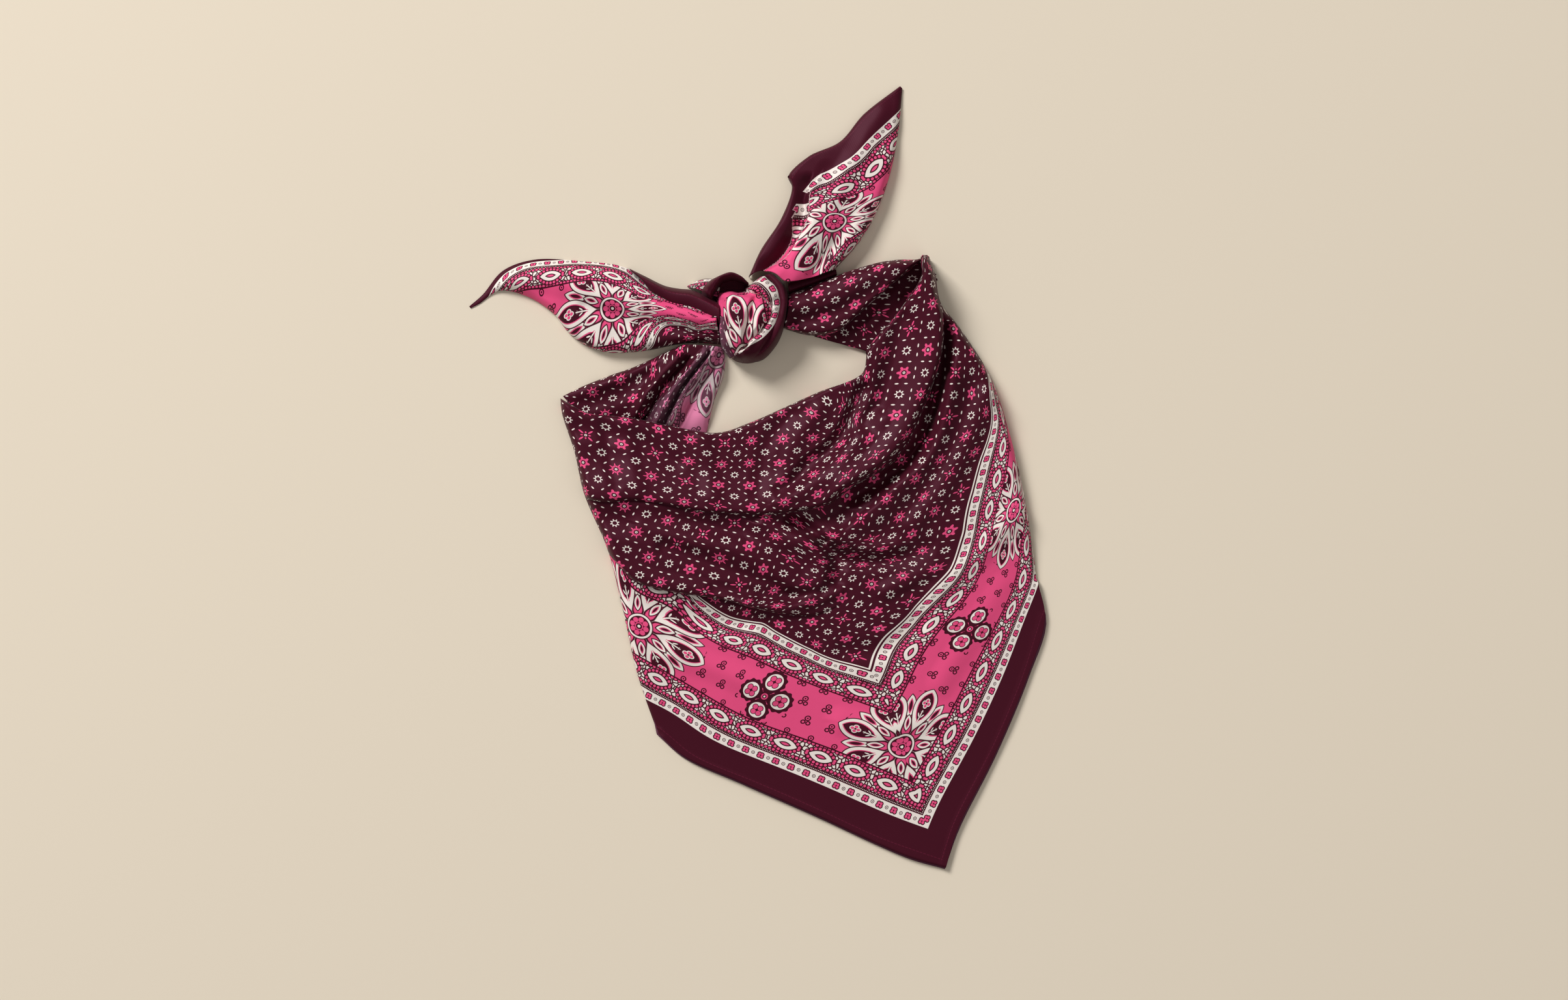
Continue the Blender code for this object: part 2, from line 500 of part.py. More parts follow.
def add_knot():
    """The overhand knot: a rounded heart, the wrap over its front, the hem turned round it."""
    sides = {"top": KNOT_TOP, "bottom": KNOT_BOTTOM, "left": KNOT_LEFT, "right": KNOT_RIGHT}
    rolls = {name: (0, 1) for name in sides}
    cloth = stretch(sides, KNOT_LEVELS, KNOT_FOLDS, (7, 8), (34, 44), rolls)
    far, near = wall_faces(cloth)
    top = filling_top(cloth)
    make_solid("knot_layers", top, None, satin("knot_layers", PLUM_REVERSE, REVERSE_ROUGHNESS))
    count = far.shape[1]
    seam = count - 6
    for name, columns, colour in (("knot_wrap", (0, seam + 1), PINK), ("knot_turn", (seam, count), PLUM)):
        ends = {"first": name == "knot_turn", "last": name == "knot_wrap"}
        faces = [drawn_in(grid, columns, **ends) for grid in (far, near)]
        make_solid(name, *faces, satin(name, colour, SATIN_ROUGHNESS))
    over = wall_faces(cloth, WALL + SEAM_GAP)
    grids = [grid[1:LOOP_ROWS, 2 : seam - 1] for grid in over]
    make_solid("knot_loop", *grids, satin("knot_loop", PLUM, SATIN_ROUGHNESS))
    add_low_piece("knot_tuck", LACE_TUCK_TOP, LACE_TUCK_LOWER, (7, 5), (2.0, 7.0, 6.0), PINK)


def main():
    clear_scene()
    add_bib()
    add_left_strand()
    add_right_strand()
    add_tails()
    add_knot()


main()
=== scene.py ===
"""Looks of the knotted satin bandana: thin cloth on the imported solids, its print, stitches and stage.

Plan positions, heights and cloth coordinates are in millimetres: x to the right of the
view, y up the view. Cloth coordinates run from one corner of the square along its hems.
"""

import math

import bpy
import numpy as np
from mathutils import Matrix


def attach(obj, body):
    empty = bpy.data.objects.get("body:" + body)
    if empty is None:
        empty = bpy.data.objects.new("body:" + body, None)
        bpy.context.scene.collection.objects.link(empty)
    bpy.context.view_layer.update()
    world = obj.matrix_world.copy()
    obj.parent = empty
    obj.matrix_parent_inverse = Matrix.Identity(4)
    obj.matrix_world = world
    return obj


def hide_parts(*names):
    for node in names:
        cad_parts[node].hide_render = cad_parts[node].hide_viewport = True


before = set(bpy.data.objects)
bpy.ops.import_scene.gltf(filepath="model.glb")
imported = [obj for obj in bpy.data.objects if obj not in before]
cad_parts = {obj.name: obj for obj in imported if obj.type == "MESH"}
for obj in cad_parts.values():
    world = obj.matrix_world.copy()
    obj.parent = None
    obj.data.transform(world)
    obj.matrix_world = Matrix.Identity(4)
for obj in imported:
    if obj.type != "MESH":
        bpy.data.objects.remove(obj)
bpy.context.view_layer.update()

bl_info = {
    "name": "Knotted satin bandana",
    "version": (1, 0, 0),
    "blender": (4, 5, 0),
    "location": "View3D > Sidebar > Bandana",
    "description": "Dresses the solids of a knotted bandana in printed satin, with hems and stitches",
    "category": "Object",
}

MM = 0.001
# The square's side, and from each hem inward the start of the plum field and the middle of the pink band.
SIDE = 560.0
FIELD_START = 88.9
BAND_MIDDLE = 51.9
# One cell of the field's flowers, and the way from one rosette of the band to the next.
CELL = 12.33
PITCH = 152.07
# A cloth coordinate in the plain border.
PLAIN = 8.0
# The bib's folds are deeper than their tables say by this factor. Its edges roll under over the next
# width, and an edge with more width than the last one slopes gently instead.
FOLD_DEPTH = 1.45
EDGE_ROLL = 5.0
GENTLE_SLOPE = 6.0
# Height of the two layers at the hem, and of the back triangle.
HEM_HEIGHT = 2.7
BACK_HEIGHT = 1.3
# Height to which the edges of the strands, tails and knot roll down.
LOW_EDGE = 0.4
# Thickness of the built cloth, where the real satin is thinner: small pieces, the bib's front and its back.
THICKNESS = 0.5
BIB_THICKNESS = 0.6
BACK_THICKNESS = 0.8
# The least gap between the underside of the cloth and the floor.
CLEARANCE = 0.05
# Distances of a grid's first lines from an edge that rolls under.
ROLL_LINES = (0, 0.24, 0.72, 1.5, 2.52, 3.72, 5.04)
# Height and length of the small waves in the strands, tails and knot.
WAVE_HEIGHT, WAVE_LENGTH = 0.15, 14

# Outlines of the bib and the edges of its two folds, seen from above.
NECK_EDGE = [
    (-106.7, 42.6), (-100, 38.8), (-92, 34.6), (-68, 32), (-44, 27), (-21, 24), (-5, 29), (31, 45),
    (57, 56),
]
LOBE_LEFT = [
    (60.5, 70), (73, 85), (81, 95.5), (86.5, 103.5), (89.4, 110.5), (88.9, 116.2), (89.8, 119.4),
    (92.2, 119.4), (94, 117.4),
]
BIB_LEFT = [
    (-106.7, 42.6), (-106, 35), (-99, 13), (-94, -9), (-81, -40), (-73, -72), (-65, -107), (-54, -139),
]
BIB_HEM = [(-54, -139), (-39, -152), (-8, -166), (35, -185), (65, -199), (84, -207), (102.5, -212.2)]
BIB_RIGHT_ROLLED = [
    (94, 117.4), (97, 109), (99.5, 95), (110, 81), (127, 54), (138, 21), (146, -14), (152, -55),
]
BIB_RIGHT_HEM = [(156.3, -77), (147, -108), (129, -151), (109, -191), (102.5, -212.2)]
BIB_TOP = NECK_EDGE + LOBE_LEFT
BIB_RIGHT = BIB_RIGHT_ROLLED + BIB_RIGHT_HEM
BIB_SIDES = {"top": BIB_TOP, "bottom": BIB_HEM, "left": BIB_LEFT, "right": BIB_RIGHT}
DRAPE_EDGE = [
    (-94.5, -13), (-80, -14.5), (-66, -13.5), (-48, -16), (-30, -19.5), (-12, -20.5), (3, -21), (22, -19),
    (38, -15.5), (53, -5), (64, 1), (73, 7), (81, 17), (87, 29), (92, 41), (95.5, 50), (99, 61),
    (101.2, 76), (99.5, 95),
]
PLEAT_EDGE = [
    (-81.3, -41.5), (-74, -49), (-66, -56.5), (-53, -61), (-36, -64), (-19, -66.5), (-4, -70.5),
    (14, -74.5), (30, -75), (44, -70.5), (58, -62),
]


# ---------------------------------------------------------------- curves and surfaces


def between(a, b, time_a, time_b, t):
    """The straight blend of a at time_a and b at time_b."""
    return a + (b - a) * (t - time_a) / (time_b - time_a)


def curve_at(points, fractions):
    """Points at fractions of the length of a smooth curve through the given points.

    Each span is a cubic: three rounds of straight blends between the four points round it, each
    point timed by the square root of its distance from the one before.
    """
    knots = np.array(points, dtype=float)
    fractions = np.asarray(fractions, dtype=float)
    if len(knots) == 2:
        return knots[0] + fractions[..., None] * (knots[1] - knots[0])
    ends = np.vstack([2 * knots[0] - knots[1], knots, 2 * knots[-1] - knots[-2]])
    times = np.concatenate([[0.0], np.cumsum(np.linalg.norm(np.diff(ends, axis=0), axis=1) ** 0.5)])
    dense = [knots[:1]]
    for i in range(1, len(ends) - 2):
        t = np.linspace(times[i], times[i + 1], 13)[1:, None]
        near = [between(ends[k], ends[k + 1], times[k], times[k + 1], t) for k in (i - 1, i, i + 1)]
        first = between(near[0], near[1], times[i - 1], times[i + 1], t)
        second = between(near[1], near[2], times[i], times[i + 2], t)
        dense.append(between(first, second, times[i], times[i + 1], t))
    dense = np.vstack(dense)
    length = np.concatenate([[0.0], np.cumsum(np.linalg.norm(np.diff(dense, axis=0), axis=1))])
    return np.stack([np.interp(fractions, length / length[-1], dense[:, k]) for k in (0, 1)], axis=-1)


def stretch_of(curve, start, end):
    """Points of a curve between the places nearest to two points."""
    places = beside(np.array([start, end], dtype=float), curve, 400)[2]
    return [tuple(point) for point in curve_at(curve, np.linspace(places[0], places[1], 14))]


def ease(t):
    """0 to 1 with level ends: 3t squared less 2t cubed."""
    t = np.clip(t, 0, 1)
    return t * t * (3 - 2 * t)


def patch(sides, across, along):
    """Patch between four curves: the ruled surfaces of both pairs of sides, less that of the corners."""
    top, bottom = curve_at(sides["top"], across), curve_at(sides["bottom"], across)
    left, right = curve_at(sides["left"], along), curve_at(sides["right"], along)
    corner = [np.array(sides[side][end], dtype=float) for side in ("top", "bottom") for end in (0, -1)]
    u, v = across[..., None], along[..., None]
    ruled = (1 - v) * ((1 - u) * corner[0] + u * corner[1]) + v * ((1 - u) * corner[2] + u * corner[3])
    return (1 - v) * top + v * bottom + (1 - u) * left + u * right - ruled


def from_run(plan, run):
    """For each point its distance to a run, the side of it (1 is left) and its place along it."""
    best = np.full(plan.shape[:-1], np.inf)
    side = np.ones_like(best)
    place = np.zeros_like(best)
    steps = len(run) - 1
    for i in range(steps):
        step = run[i + 1] - run[i]
        away = plan - run[i]
        t = np.clip(away @ step / max(step @ step, 1e-9), 0, 1)
        gap = np.linalg.norm(away - t[..., None] * step, axis=-1)
        closer = gap < best
        best = np.where(closer, gap, best)
        side = np.where(closer, np.sign(step[0] * away[..., 1] - step[1] * away[..., 0]), side)
        place = np.where(closer, (i + t) / steps, place)
    return best, side, place


def beside(plan, curve, count=60):
    """Distance, side and place of each point beside a smooth curve, taken as count - 1 straight steps."""
    return from_run(plan, curve_at(curve, np.linspace(0, 1, count)))


def fold_height(plan, folds):
    """Sum of the folds: each is half a cosine wave across its run, with a width on each side."""
    total = np.zeros(plan.shape[:-1])
    for rise_start, rise_end, width_left, width_right, points in folds:
        run = curve_at(points, np.linspace(0, 1, 28))
        reach = max(width_left, width_right)
        near = np.all((plan > run.min(0) - reach) & (plan < run.max(0) + reach), axis=-1)
        if near.any():
            gap, side, place = from_run(plan[near], run)
            width = np.where(side > 0, width_left, width_right)
            bell = 0.5 * (1 + np.cos(np.pi * np.clip(gap / width, 0, 1)))
            total[near] += bell * (rise_start + (rise_end - rise_start) * place)
    return total


def bent_plate(points, values, stiffness=0.0):
    """A function through values at points: a plane plus a weight times r squared log r from each point.

    With some stiffness it passes near the values and bends less.
    """
    points = np.array(points, dtype=float)
    values = np.array(values, dtype=float)
    count = len(points)
    system = np.zeros((count + 3, count + 3))
    gap = np.linalg.norm(points[:, None] - points[None], axis=-1)
    system[:count, :count] = gap**2 * np.log(gap + 1e-9) + stiffness * np.eye(count)
    system[:count, count] = system[count, :count] = 1
    system[:count, count + 1 :] = points
    system[count + 1 :, :count] = points.T
    weights = np.linalg.solve(system, np.concatenate([values, np.zeros((3, *values.shape[1:]))]))

    def plate(plan):
        flat = plan.reshape(-1, 2)
        gap = np.linalg.norm(flat[:, None] - points[None], axis=-1)
        basis = np.hstack([gap**2 * np.log(gap + 1e-9), np.ones((len(flat), 1)), flat])
        return (basis @ weights).reshape(*plan.shape[:-1], *values.shape[1:])

    return plate


def drop(gap, radius):
    """Quarter of an ellipse: 0 at an edge that rolls under, 1 a radius away from it."""
    return np.sqrt(np.maximum(1 - (1 - np.clip(gap / radius, 0, 1)) ** 2, 0))


def soft_noise(plan, size, seed):
    """Smooth unevenness, mostly between -1 and 1: seven sine waves in seeded directions, about size long."""
    draw = np.random.default_rng(seed)
    total = np.zeros(plan.shape[:-1])
    for _ in range(7):
        angle, phase, scale = draw.uniform(0, 2 * np.pi), draw.uniform(0, 2 * np.pi), draw.uniform(0.6, 1.7)
        total += np.sin((plan @ [np.cos(angle), np.sin(angle)]) * 2 * np.pi / (size * scale) + phase)
    return total / 4


# ---------------------------------------------------------------- shaders


class Value:
    """A number in a shader: sums written with it become Math nodes."""

    def __init__(self, tree, socket):
        self.tree = tree
        self.socket = socket

    def math(self, operation, *others, clamp=False):
        """The result of a Math node, with this value as its first input."""
        settings = {"operation": operation, "use_clamp": clamp}
        return node(self.tree, "ShaderNodeMath", settings, [self, *others])

    def __add__(self, other):
        return self.math("ADD", other)

    __radd__ = __add__

    def __sub__(self, other):
        return self.math("SUBTRACT", other)

    def __rsub__(self, other):
        return node(self.tree, "ShaderNodeMath", {"operation": "SUBTRACT"}, [other, self])

    def __mul__(self, other):
        return self.math("MULTIPLY", other)

    __rmul__ = __mul__

    def __truediv__(self, other):
        return self.math("DIVIDE", other)

    def __rtruediv__(self, other):
        return node(self.tree, "ShaderNodeMath", {"operation": "DIVIDE"}, [other, self])

    def __mod__(self, other):
        return self.math("FLOORED_MODULO", other)

    def __abs__(self):
        return self.math("ABSOLUTE")


def node(tree, kind, settings, inputs, output=0):
    """A new node of a kind, its settings set first and then its inputs; gives one output."""
    made = tree.nodes.new(kind)
    for name, setting in settings.items():
        setattr(made, name, setting)
    for key, given in inputs.items() if isinstance(inputs, dict) else enumerate(inputs):
        if isinstance(given, Value):
            tree.links.new(given.socket, made.inputs[key])
        else:
            made.inputs[key].default_value = given
    return Value(tree, made.outputs[output])


def inside(value, edge, soft=0.22):
    """1 where value is below edge, 0 above it, with a soft change between."""
    return value.math("MULTIPLY_ADD", -1 / soft, edge / soft + 0.5, clamp=True)


def far(a, b):
    """Length of the sides a and b of a right angle taken together."""
    return (a * a + b * b).math("SQRT")


def oval(along, across, offset, radius):
    """Below 0 inside a pointed oval: two arcs of a radius, their centres offset to both sides of it."""
    return far(along, across + offset) - radius


def mix_colour(tree, factor, a, b):
    """Colour a where the factor is 0 and colour b where it is 1."""
    return node(tree, "ShaderNodeMix", {"data_type": "RGBA"}, {0: factor, 6: a, 7: b}, output=2)


class Paint:
    """How much white and how much pink is printed on the plum ground."""

    def __init__(self, white, pink):
        self.white = white
        self.pink = pink

    def add(self, colour, mask):
        """Prints a colour where the mask is 1."""
        keep = 1 - mask
        if colour == "white":
            self.white = self.white.math("MAXIMUM", mask)
        else:
            self.white = self.white * keep
            self.pink = self.pink.math("MAXIMUM", mask) if colour == "pink" else self.pink * keep
        return self

    def rings(self, value, *steps):
        """Prints colours inside a shape, from its outer edge inward."""
        for colour, edge in steps:
            self.add(colour, inside(value, edge))
        return self

    def within(self, other, mask):
        """Takes the other paint where the mask is 1."""
        keep = 1 - mask
        self.white = self.white * keep + other.white * mask
        self.pink = self.pink * keep + other.pink * mask
        return self


def polar(x, y, sector, turn=0.0):
    """Along and across the nearest of the spokes that stand a sector apart, the radius, and the angle."""
    angle = y.math("ARCTAN2", x) + turn
    half = sector * 0.5
    angle = (angle + half) % sector - half
    radius = far(x, y)
    return radius * angle.math("COSINE"), abs(radius * angle.math("SINE")), radius, angle


# The print in millimetres: s runs along the hem, d in from the hem and e from the middle of the pink band.


def print_stripe(s, e):
    """White stripe with small pink clovers and rings in turn."""
    repeat = 8.6
    along = s % repeat - repeat / 2
    across = e - 32.45
    side = abs(along)
    paint = Paint(along * 0 + 1, along * 0)
    clover = far(side - 0.85, across - 0.75).math("MINIMUM", far(side - 0.7, across + 0.65))
    paint.rings(clover, ("plum", 1.3), ("pink", 0.72))
    paint.rings(far(along, across), ("plum", 0.34))
    return paint.rings(far(side - repeat / 2, across), ("plum", 1.0), ("white", 0.64), ("plum", 0.3))


def print_lace(tree, s, e, cloth):
    """Scalloped band: white cells crossed by fine lines, with pink dots round pointed ovals."""
    cells = node(
        tree, "ShaderNodeTexVoronoi", {"voronoi_dimensions": "2D", "feature": "DISTANCE_TO_EDGE"},
        {"Vector": cloth, "Scale": 430.0},
    )
    paint = Paint(1 - inside(cells, 0.15, 0.08), cells * 0)
    repeat, bead, offset = 19.4, 2.156, 5.39
    along = abs(s % repeat - repeat / 2)
    across = abs(e - 21.25)
    paint.rings(far(s % bead - bead / 2, across - 5.4), ("plum", 1.25), ("pink", 0.74))
    scallop = oval(along, across, offset, 8.29)
    beads = (along.math("ARCTAN2", across + offset) * 9.6 + bead / 2) % bead - bead / 2
    paint.rings(far(beads, scallop - 1.35), ("plum", 1.35), ("pink", 0.76))
    paint.rings(scallop, ("plum", 0.6), ("white", 0.0))
    return paint.rings(oval(along, across, 3.6, 4.6), ("plum", 0.3), ("pink", -0.35))


def print_band(s, d):
    """Pink band: leafy rosettes and four-lobed medallions in turn, small sprigs between them."""
    u = abs((s - (BAND_MIDDLE - PITCH / 2)) % PITCH - PITCH / 2)
    v = d - BAND_MIDDLE
    paint = Paint(u * 0, u * 0 + 1)
    # Sprigs in rows, every other row half a width along.
    wide, high = 12.67, 9.8
    row = (v + 4 * high) / high
    step = (row.math("FLOOR") % 2) * (wide / 2)
    sx = (u + step) % wide - wide / 2
    sy = (row.math("FRACT") - 0.5) * high
    paint.rings(far(abs(sx) - 1.3, sy + 1.3), ("plum", 1.3), ("pink", 0.62))
    paint.rings(far(sx, sy - 1.3), ("plum", 1.6), ("pink", 0.95), ("plum", 0.45))
    # Rosette of eight pointed leaves with buds between them, a little wider along the band.
    lx, ly, radius, angle = polar(u / 1.28, v, math.pi / 4)
    turned = math.pi / 8 - abs(angle)
    mx = radius * turned.math("COSINE")
    my = abs(radius * turned.math("SINE"))
    paint.rings(radius, ("pink", 26.5))
    paint.rings(oval(mx - 19.5, my, 5.0, 7.4), ("plum", 0.5), ("white", 0.0), ("pink", -1.1), ("plum", -1.6))
    paint.rings(oval(mx - 11.4, my, 3.2, 4.8), ("plum", 0.5), ("white", 0.0), ("pink", -0.75), ("plum", -1.1))
    # The power draws each leaf out to a long tip.
    start, length = 7.6, 20.6
    drawn = ((lx - start).math("MAXIMUM", 0.0) / length).math("POWER", 1.45) * length + start
    leaf = oval(drawn - 17.9, ly, 6.4, 12.1)
    paint.rings(leaf, ("plum", 0.55), ("white", 0.0), ("pink", -1.6), ("plum", -2.05))
    stem = inside(ly, 0.26) * inside(abs(lx - 14.6), 3.4)
    pairs = inside(far(abs((lx - ly * 1.1) % 2.6 - 1.3) * 1.5, ly - 1.1), 0.66) * inside(abs(lx - 14.9), 2.5)
    paint.add("white", stem.math("MAXIMUM", pairs))
    tip = lx - 21.3
    bloom = far(abs(tip) - 1.25, ly).math("MINIMUM", far(tip, ly - 1.25))
    paint.rings(bloom, ("white", 1.15), ("pink", 0.75))
    paint.rings(far(tip, ly), ("plum", 0.5))
    paint.rings(radius, ("plum", 6.6), ("white", 6.1), ("plum", 5.2))
    paint.rings(far(lx - 3.4, ly), ("pink", 1.25))
    paint.rings(radius, ("pink", 2.0), ("plum", 1.5), ("white", 0.7))
    # Medallion halfway between rosettes.
    w = PITCH / 2 - u
    lobe_x = w.math("MAXIMUM", abs(v)) - 8.6
    lobe_y = w.math("MINIMUM", abs(v))
    frill = (lobe_y.math("ARCTAN2", lobe_x) * 11).math("COSINE") * 0.35
    lobe = far(lobe_x, lobe_y)
    paint.rings(far(w, v), ("pink", 15))
    paint.rings(lobe - frill, ("plum", 6.4))
    paint.rings(lobe, ("white", 4.5))
    paint.rings(far(abs(lobe_x) - 1.45, lobe_y - 1.45), ("plum", 1.75), ("pink", 1.35))
    paint.rings(lobe, ("plum", 0.6))
    return paint.rings(far(w, v), ("plum", 2.9), ("pink", 1.8), ("plum", 1.1), ("white", 0.5))


def print_field(tree, x, y):
    """Plum field: pink daisies of three kinds and white ring flowers in turn, dashes round each."""
    fx = (x - FIELD_START) / CELL
    fy = (y - FIELD_START) / CELL
    column, row = fx.math("FLOOR"), fy.math("FLOOR")
    lx = (fx - column - 0.5) * CELL
    ly = (fy - row - 0.5) * CELL
    odd = (column + row) % 2
    place = node(tree, "ShaderNodeCombineXYZ", {}, [column, row])
    chance = node(tree, "ShaderNodeTexWhiteNoise", {"noise_dimensions": "2D"}, {"Vector": place})
    pick = chance.math("GREATER_THAN", 0.4) + chance.math("GREATER_THAN", 0.72)
    sector = 2 * math.pi / (8 - 2 * pick)
    px, py, radius, angle = polar(lx, ly, sector, chance * 40)
    # Middle, half length and half width of a petal: quadratics through the three kinds.
    square = pick * pick
    petal = far((px - (2.7 - 0.575 * pick + 0.4 * square)) / (1.25 - 0.3 * pick + 0.21 * square),
                py / (0.33 + 0.73 * pick - 0.333 * square))
    flower = Paint(px * 0, inside(petal, 1.0, 0.2))
    turned = sector * 0.5 - abs(angle)
    small = far((radius * turned.math("COSINE") - 1.9) * 0.7, radius * turned.math("SINE"))
    flower.add("pink", inside(small, 0.4) * inside(sector, 1.7))
    flower.rings(radius, ("plum", 1.3), ("white", 0.66), ("plum", 0.3))
    tx, ty, reach, _ = polar(lx, ly, math.pi / 4)
    teeth = inside(far((tx - 2.0) * 0.62, ty), 0.33)
    ring = inside(abs(reach - 1.46), 0.2)
    cog = Paint(teeth.math("MAXIMUM", ring), tx * 0)
    flower.within(cog, odd)
    ax, ay = abs(lx), abs(ly)
    along = abs(ax.math("MINIMUM", ay) - 2.4)
    off = CELL / 2 - ax.math("MAXIMUM", ay)
    dash = inside(far(along * 0.4, off), 0.38, 0.15)
    return flower.add("white", dash)


def print_paint(tree, cloth):
    """The whole square, folded by its symmetry: d is measured from the nearest hem and s from the next."""
    x, y = (node(tree, "ShaderNodeSeparateXYZ", {}, [cloth], output) / MM for output in (0, 1))
    near_x = x.math("MINIMUM", SIDE - x)
    near_y = y.math("MINIMUM", SIDE - y)
    d = near_x.math("MINIMUM", near_y)
    s = near_x.math("MAXIMUM", near_y)
    e = abs(d - BAND_MIDDLE)
    # From the field outward to the pink band, each width laid over the one before.
    paint = print_field(tree, x, y)
    paint.add("plum", inside(d, 89.6))
    paint.add("white", inside(abs(d - 88.65), 0.4))
    paint.within(print_stripe(s, e), inside(e, 35.3))
    paint.add("plum", inside(e, 29.6))
    paint.add("white", inside(far(s % 0.95 - 0.475, e - 28.7), 0.22, 0.1))
    paint.within(print_lace(tree, s, e, cloth), inside(e, 27.8))
    paint.add("plum", inside(e, 15.5))
    paint.within(print_band(s, d), inside(e, 14.7))
    step = 2.1
    stitch = inside(abs(d - 3.5), 0.2) * inside(abs(s % step - step / 2), 0.75)
    return paint.add("pink", stitch * 0.06)


def cloth_material(name, plum, pink, white, roughness, sheen):
    """Satin: the print in three colours, a twill too fine to see singly and a soft unevenness."""
    material = bpy.data.materials.new(name)
    material.use_nodes = True
    tree = material.node_tree
    shader = tree.nodes["Principled BSDF"]
    shader.inputs["Roughness"].default_value = roughness
    shader.inputs["Sheen Weight"].default_value = sheen
    shader.inputs["Sheen Roughness"].default_value = 0.4
    shader.inputs["Specular IOR Level"].default_value = 0.17
    shader.inputs["Specular Tint"].default_value = (1.0, 0.5, 0.66, 1)
    paint = print_paint(tree, node(tree, "ShaderNodeUVMap", {"uv_map": "cloth"}, []))
    colour = mix_colour(tree, paint.white, mix_colour(tree, paint.pink, plum, pink), white)
    tree.links.new(colour.socket, shader.inputs["Base Color"])
    place = node(tree, "ShaderNodeTexCoord", {}, [], output=3)
    uneven = node(
        tree, "ShaderNodeTexNoise", {}, {"Vector": place, "Scale": 75.0, "Detail": 3.0, "Roughness": 0.55}
    )
    weave = node(
        tree, "ShaderNodeTexWave", {"bands_direction": "DIAGONAL"},
        {"Vector": place, "Scale": 420.0, "Distortion": 0.6},
    )
    height = uneven * 0.5 + weave * 0.05
    bump = node(tree, "ShaderNodeBump", {}, {"Strength": 0.3, "Distance": 0.0009, "Height": height})
    tree.links.new(bump.socket, shader.inputs["Normal"])
    return material


# ---------------------------------------------------------------- cloth pieces


def lines(count, rolled_start, rolled_end, size):
    """Fractions of a grid's lines, closer together where an edge rolls under."""
    steps = np.array(ROLL_LINES) / size
    start = steps if rolled_start else np.array([0.0])
    end = (1 - steps)[::-1] if rolled_end else np.array([1.0])
    inner = np.linspace(start[-1], end[0], count - len(start) - len(end) + 2)[1:-1]
    return np.concatenate([start, inner, end])


def table_height(levels, u, v):
    """Height from a table: rows along, columns across, with an eased change between entries."""
    levels = np.array(levels, dtype=float)
    rows, columns = levels.shape
    a, b = v * (rows - 1), u * (columns - 1)
    i, j = np.clip(a.astype(int), 0, rows - 2), np.clip(b.astype(int), 0, columns - 2)
    s, t = ease(a - i), ease(b - j)
    near = levels[i, j] * (1 - t) + levels[i, j + 1] * t
    next_row = levels[i + 1, j] * (1 - t) + levels[i + 1, j + 1] * t
    return near * (1 - s) + next_row * s


def grid(sides, counts, rolled=(), sizes=(1, 1), span=(0, 1)):
    """Plan of a patch and its two fractions, with closer lines at the rolled edges.

    A span takes only a part of the patch, from one fraction of its width to another, in even steps.
    """
    if span == (0, 1):
        across = lines(counts[0], "left" in rolled, "right" in rolled, sizes[0])
    else:
        across = np.linspace(*span, counts[0])
    u, v = np.meshgrid(across, lines(counts[1], "top" in rolled, "bottom" in rolled, sizes[1]))
    return patch(sides, u, v), u, v


def ribbon(one, other, counts):
    """Plan and fractions of a narrow patch between two curves with straight ends."""
    sides = {"left": one, "right": other, "top": [one[0], other[0]], "bottom": [one[-1], other[-1]]}
    return grid(sides, counts)


def roll_under(plan, height, curve, radius, lowest=0.0):
    """Lowers the height towards a curve, down to the lowest height there.

    A small radius gives a quarter ellipse, as at a fold. Above 6 mm it is a gentle slope, as at a hem:
    1 less the 1.7th power of what is left of the radius.
    """
    gap = beside(plan, curve)[0]
    slope = 1 - (1 - np.clip(gap / radius, 0, 1)) ** 1.7 if radius > GENTLE_SLOPE else drop(gap, radius)
    return lowest + (height - lowest) * slope


def unroll(cloth, plan, height, sides, count=9):
    """Cloth coordinates with longer steps beside rolled edges.

    Each step is taken as many times as its slant length is longer than its length in plan.
    """
    cloth = cloth.copy()
    turns = {
        "top": lambda a: a, "bottom": lambda a: a[::-1],
        "left": lambda a: a.swapaxes(0, 1), "right": lambda a: a.swapaxes(0, 1)[::-1],
    }
    for side in sides:
        near, flat, tall = turns[side](cloth), turns[side](plan), turns[side](height)
        step = near[:count] - near[1 : count + 1]
        across = np.linalg.norm(flat[:count] - flat[1 : count + 1], axis=-1)
        steep = np.hypot(across, tall[:count] - tall[1 : count + 1]) / np.maximum(across, 1e-3)
        longer = step * np.minimum(steep, 20)[..., None]
        near[:count] = near[count] + np.cumsum(longer[::-1], axis=0)[::-1]
    return cloth


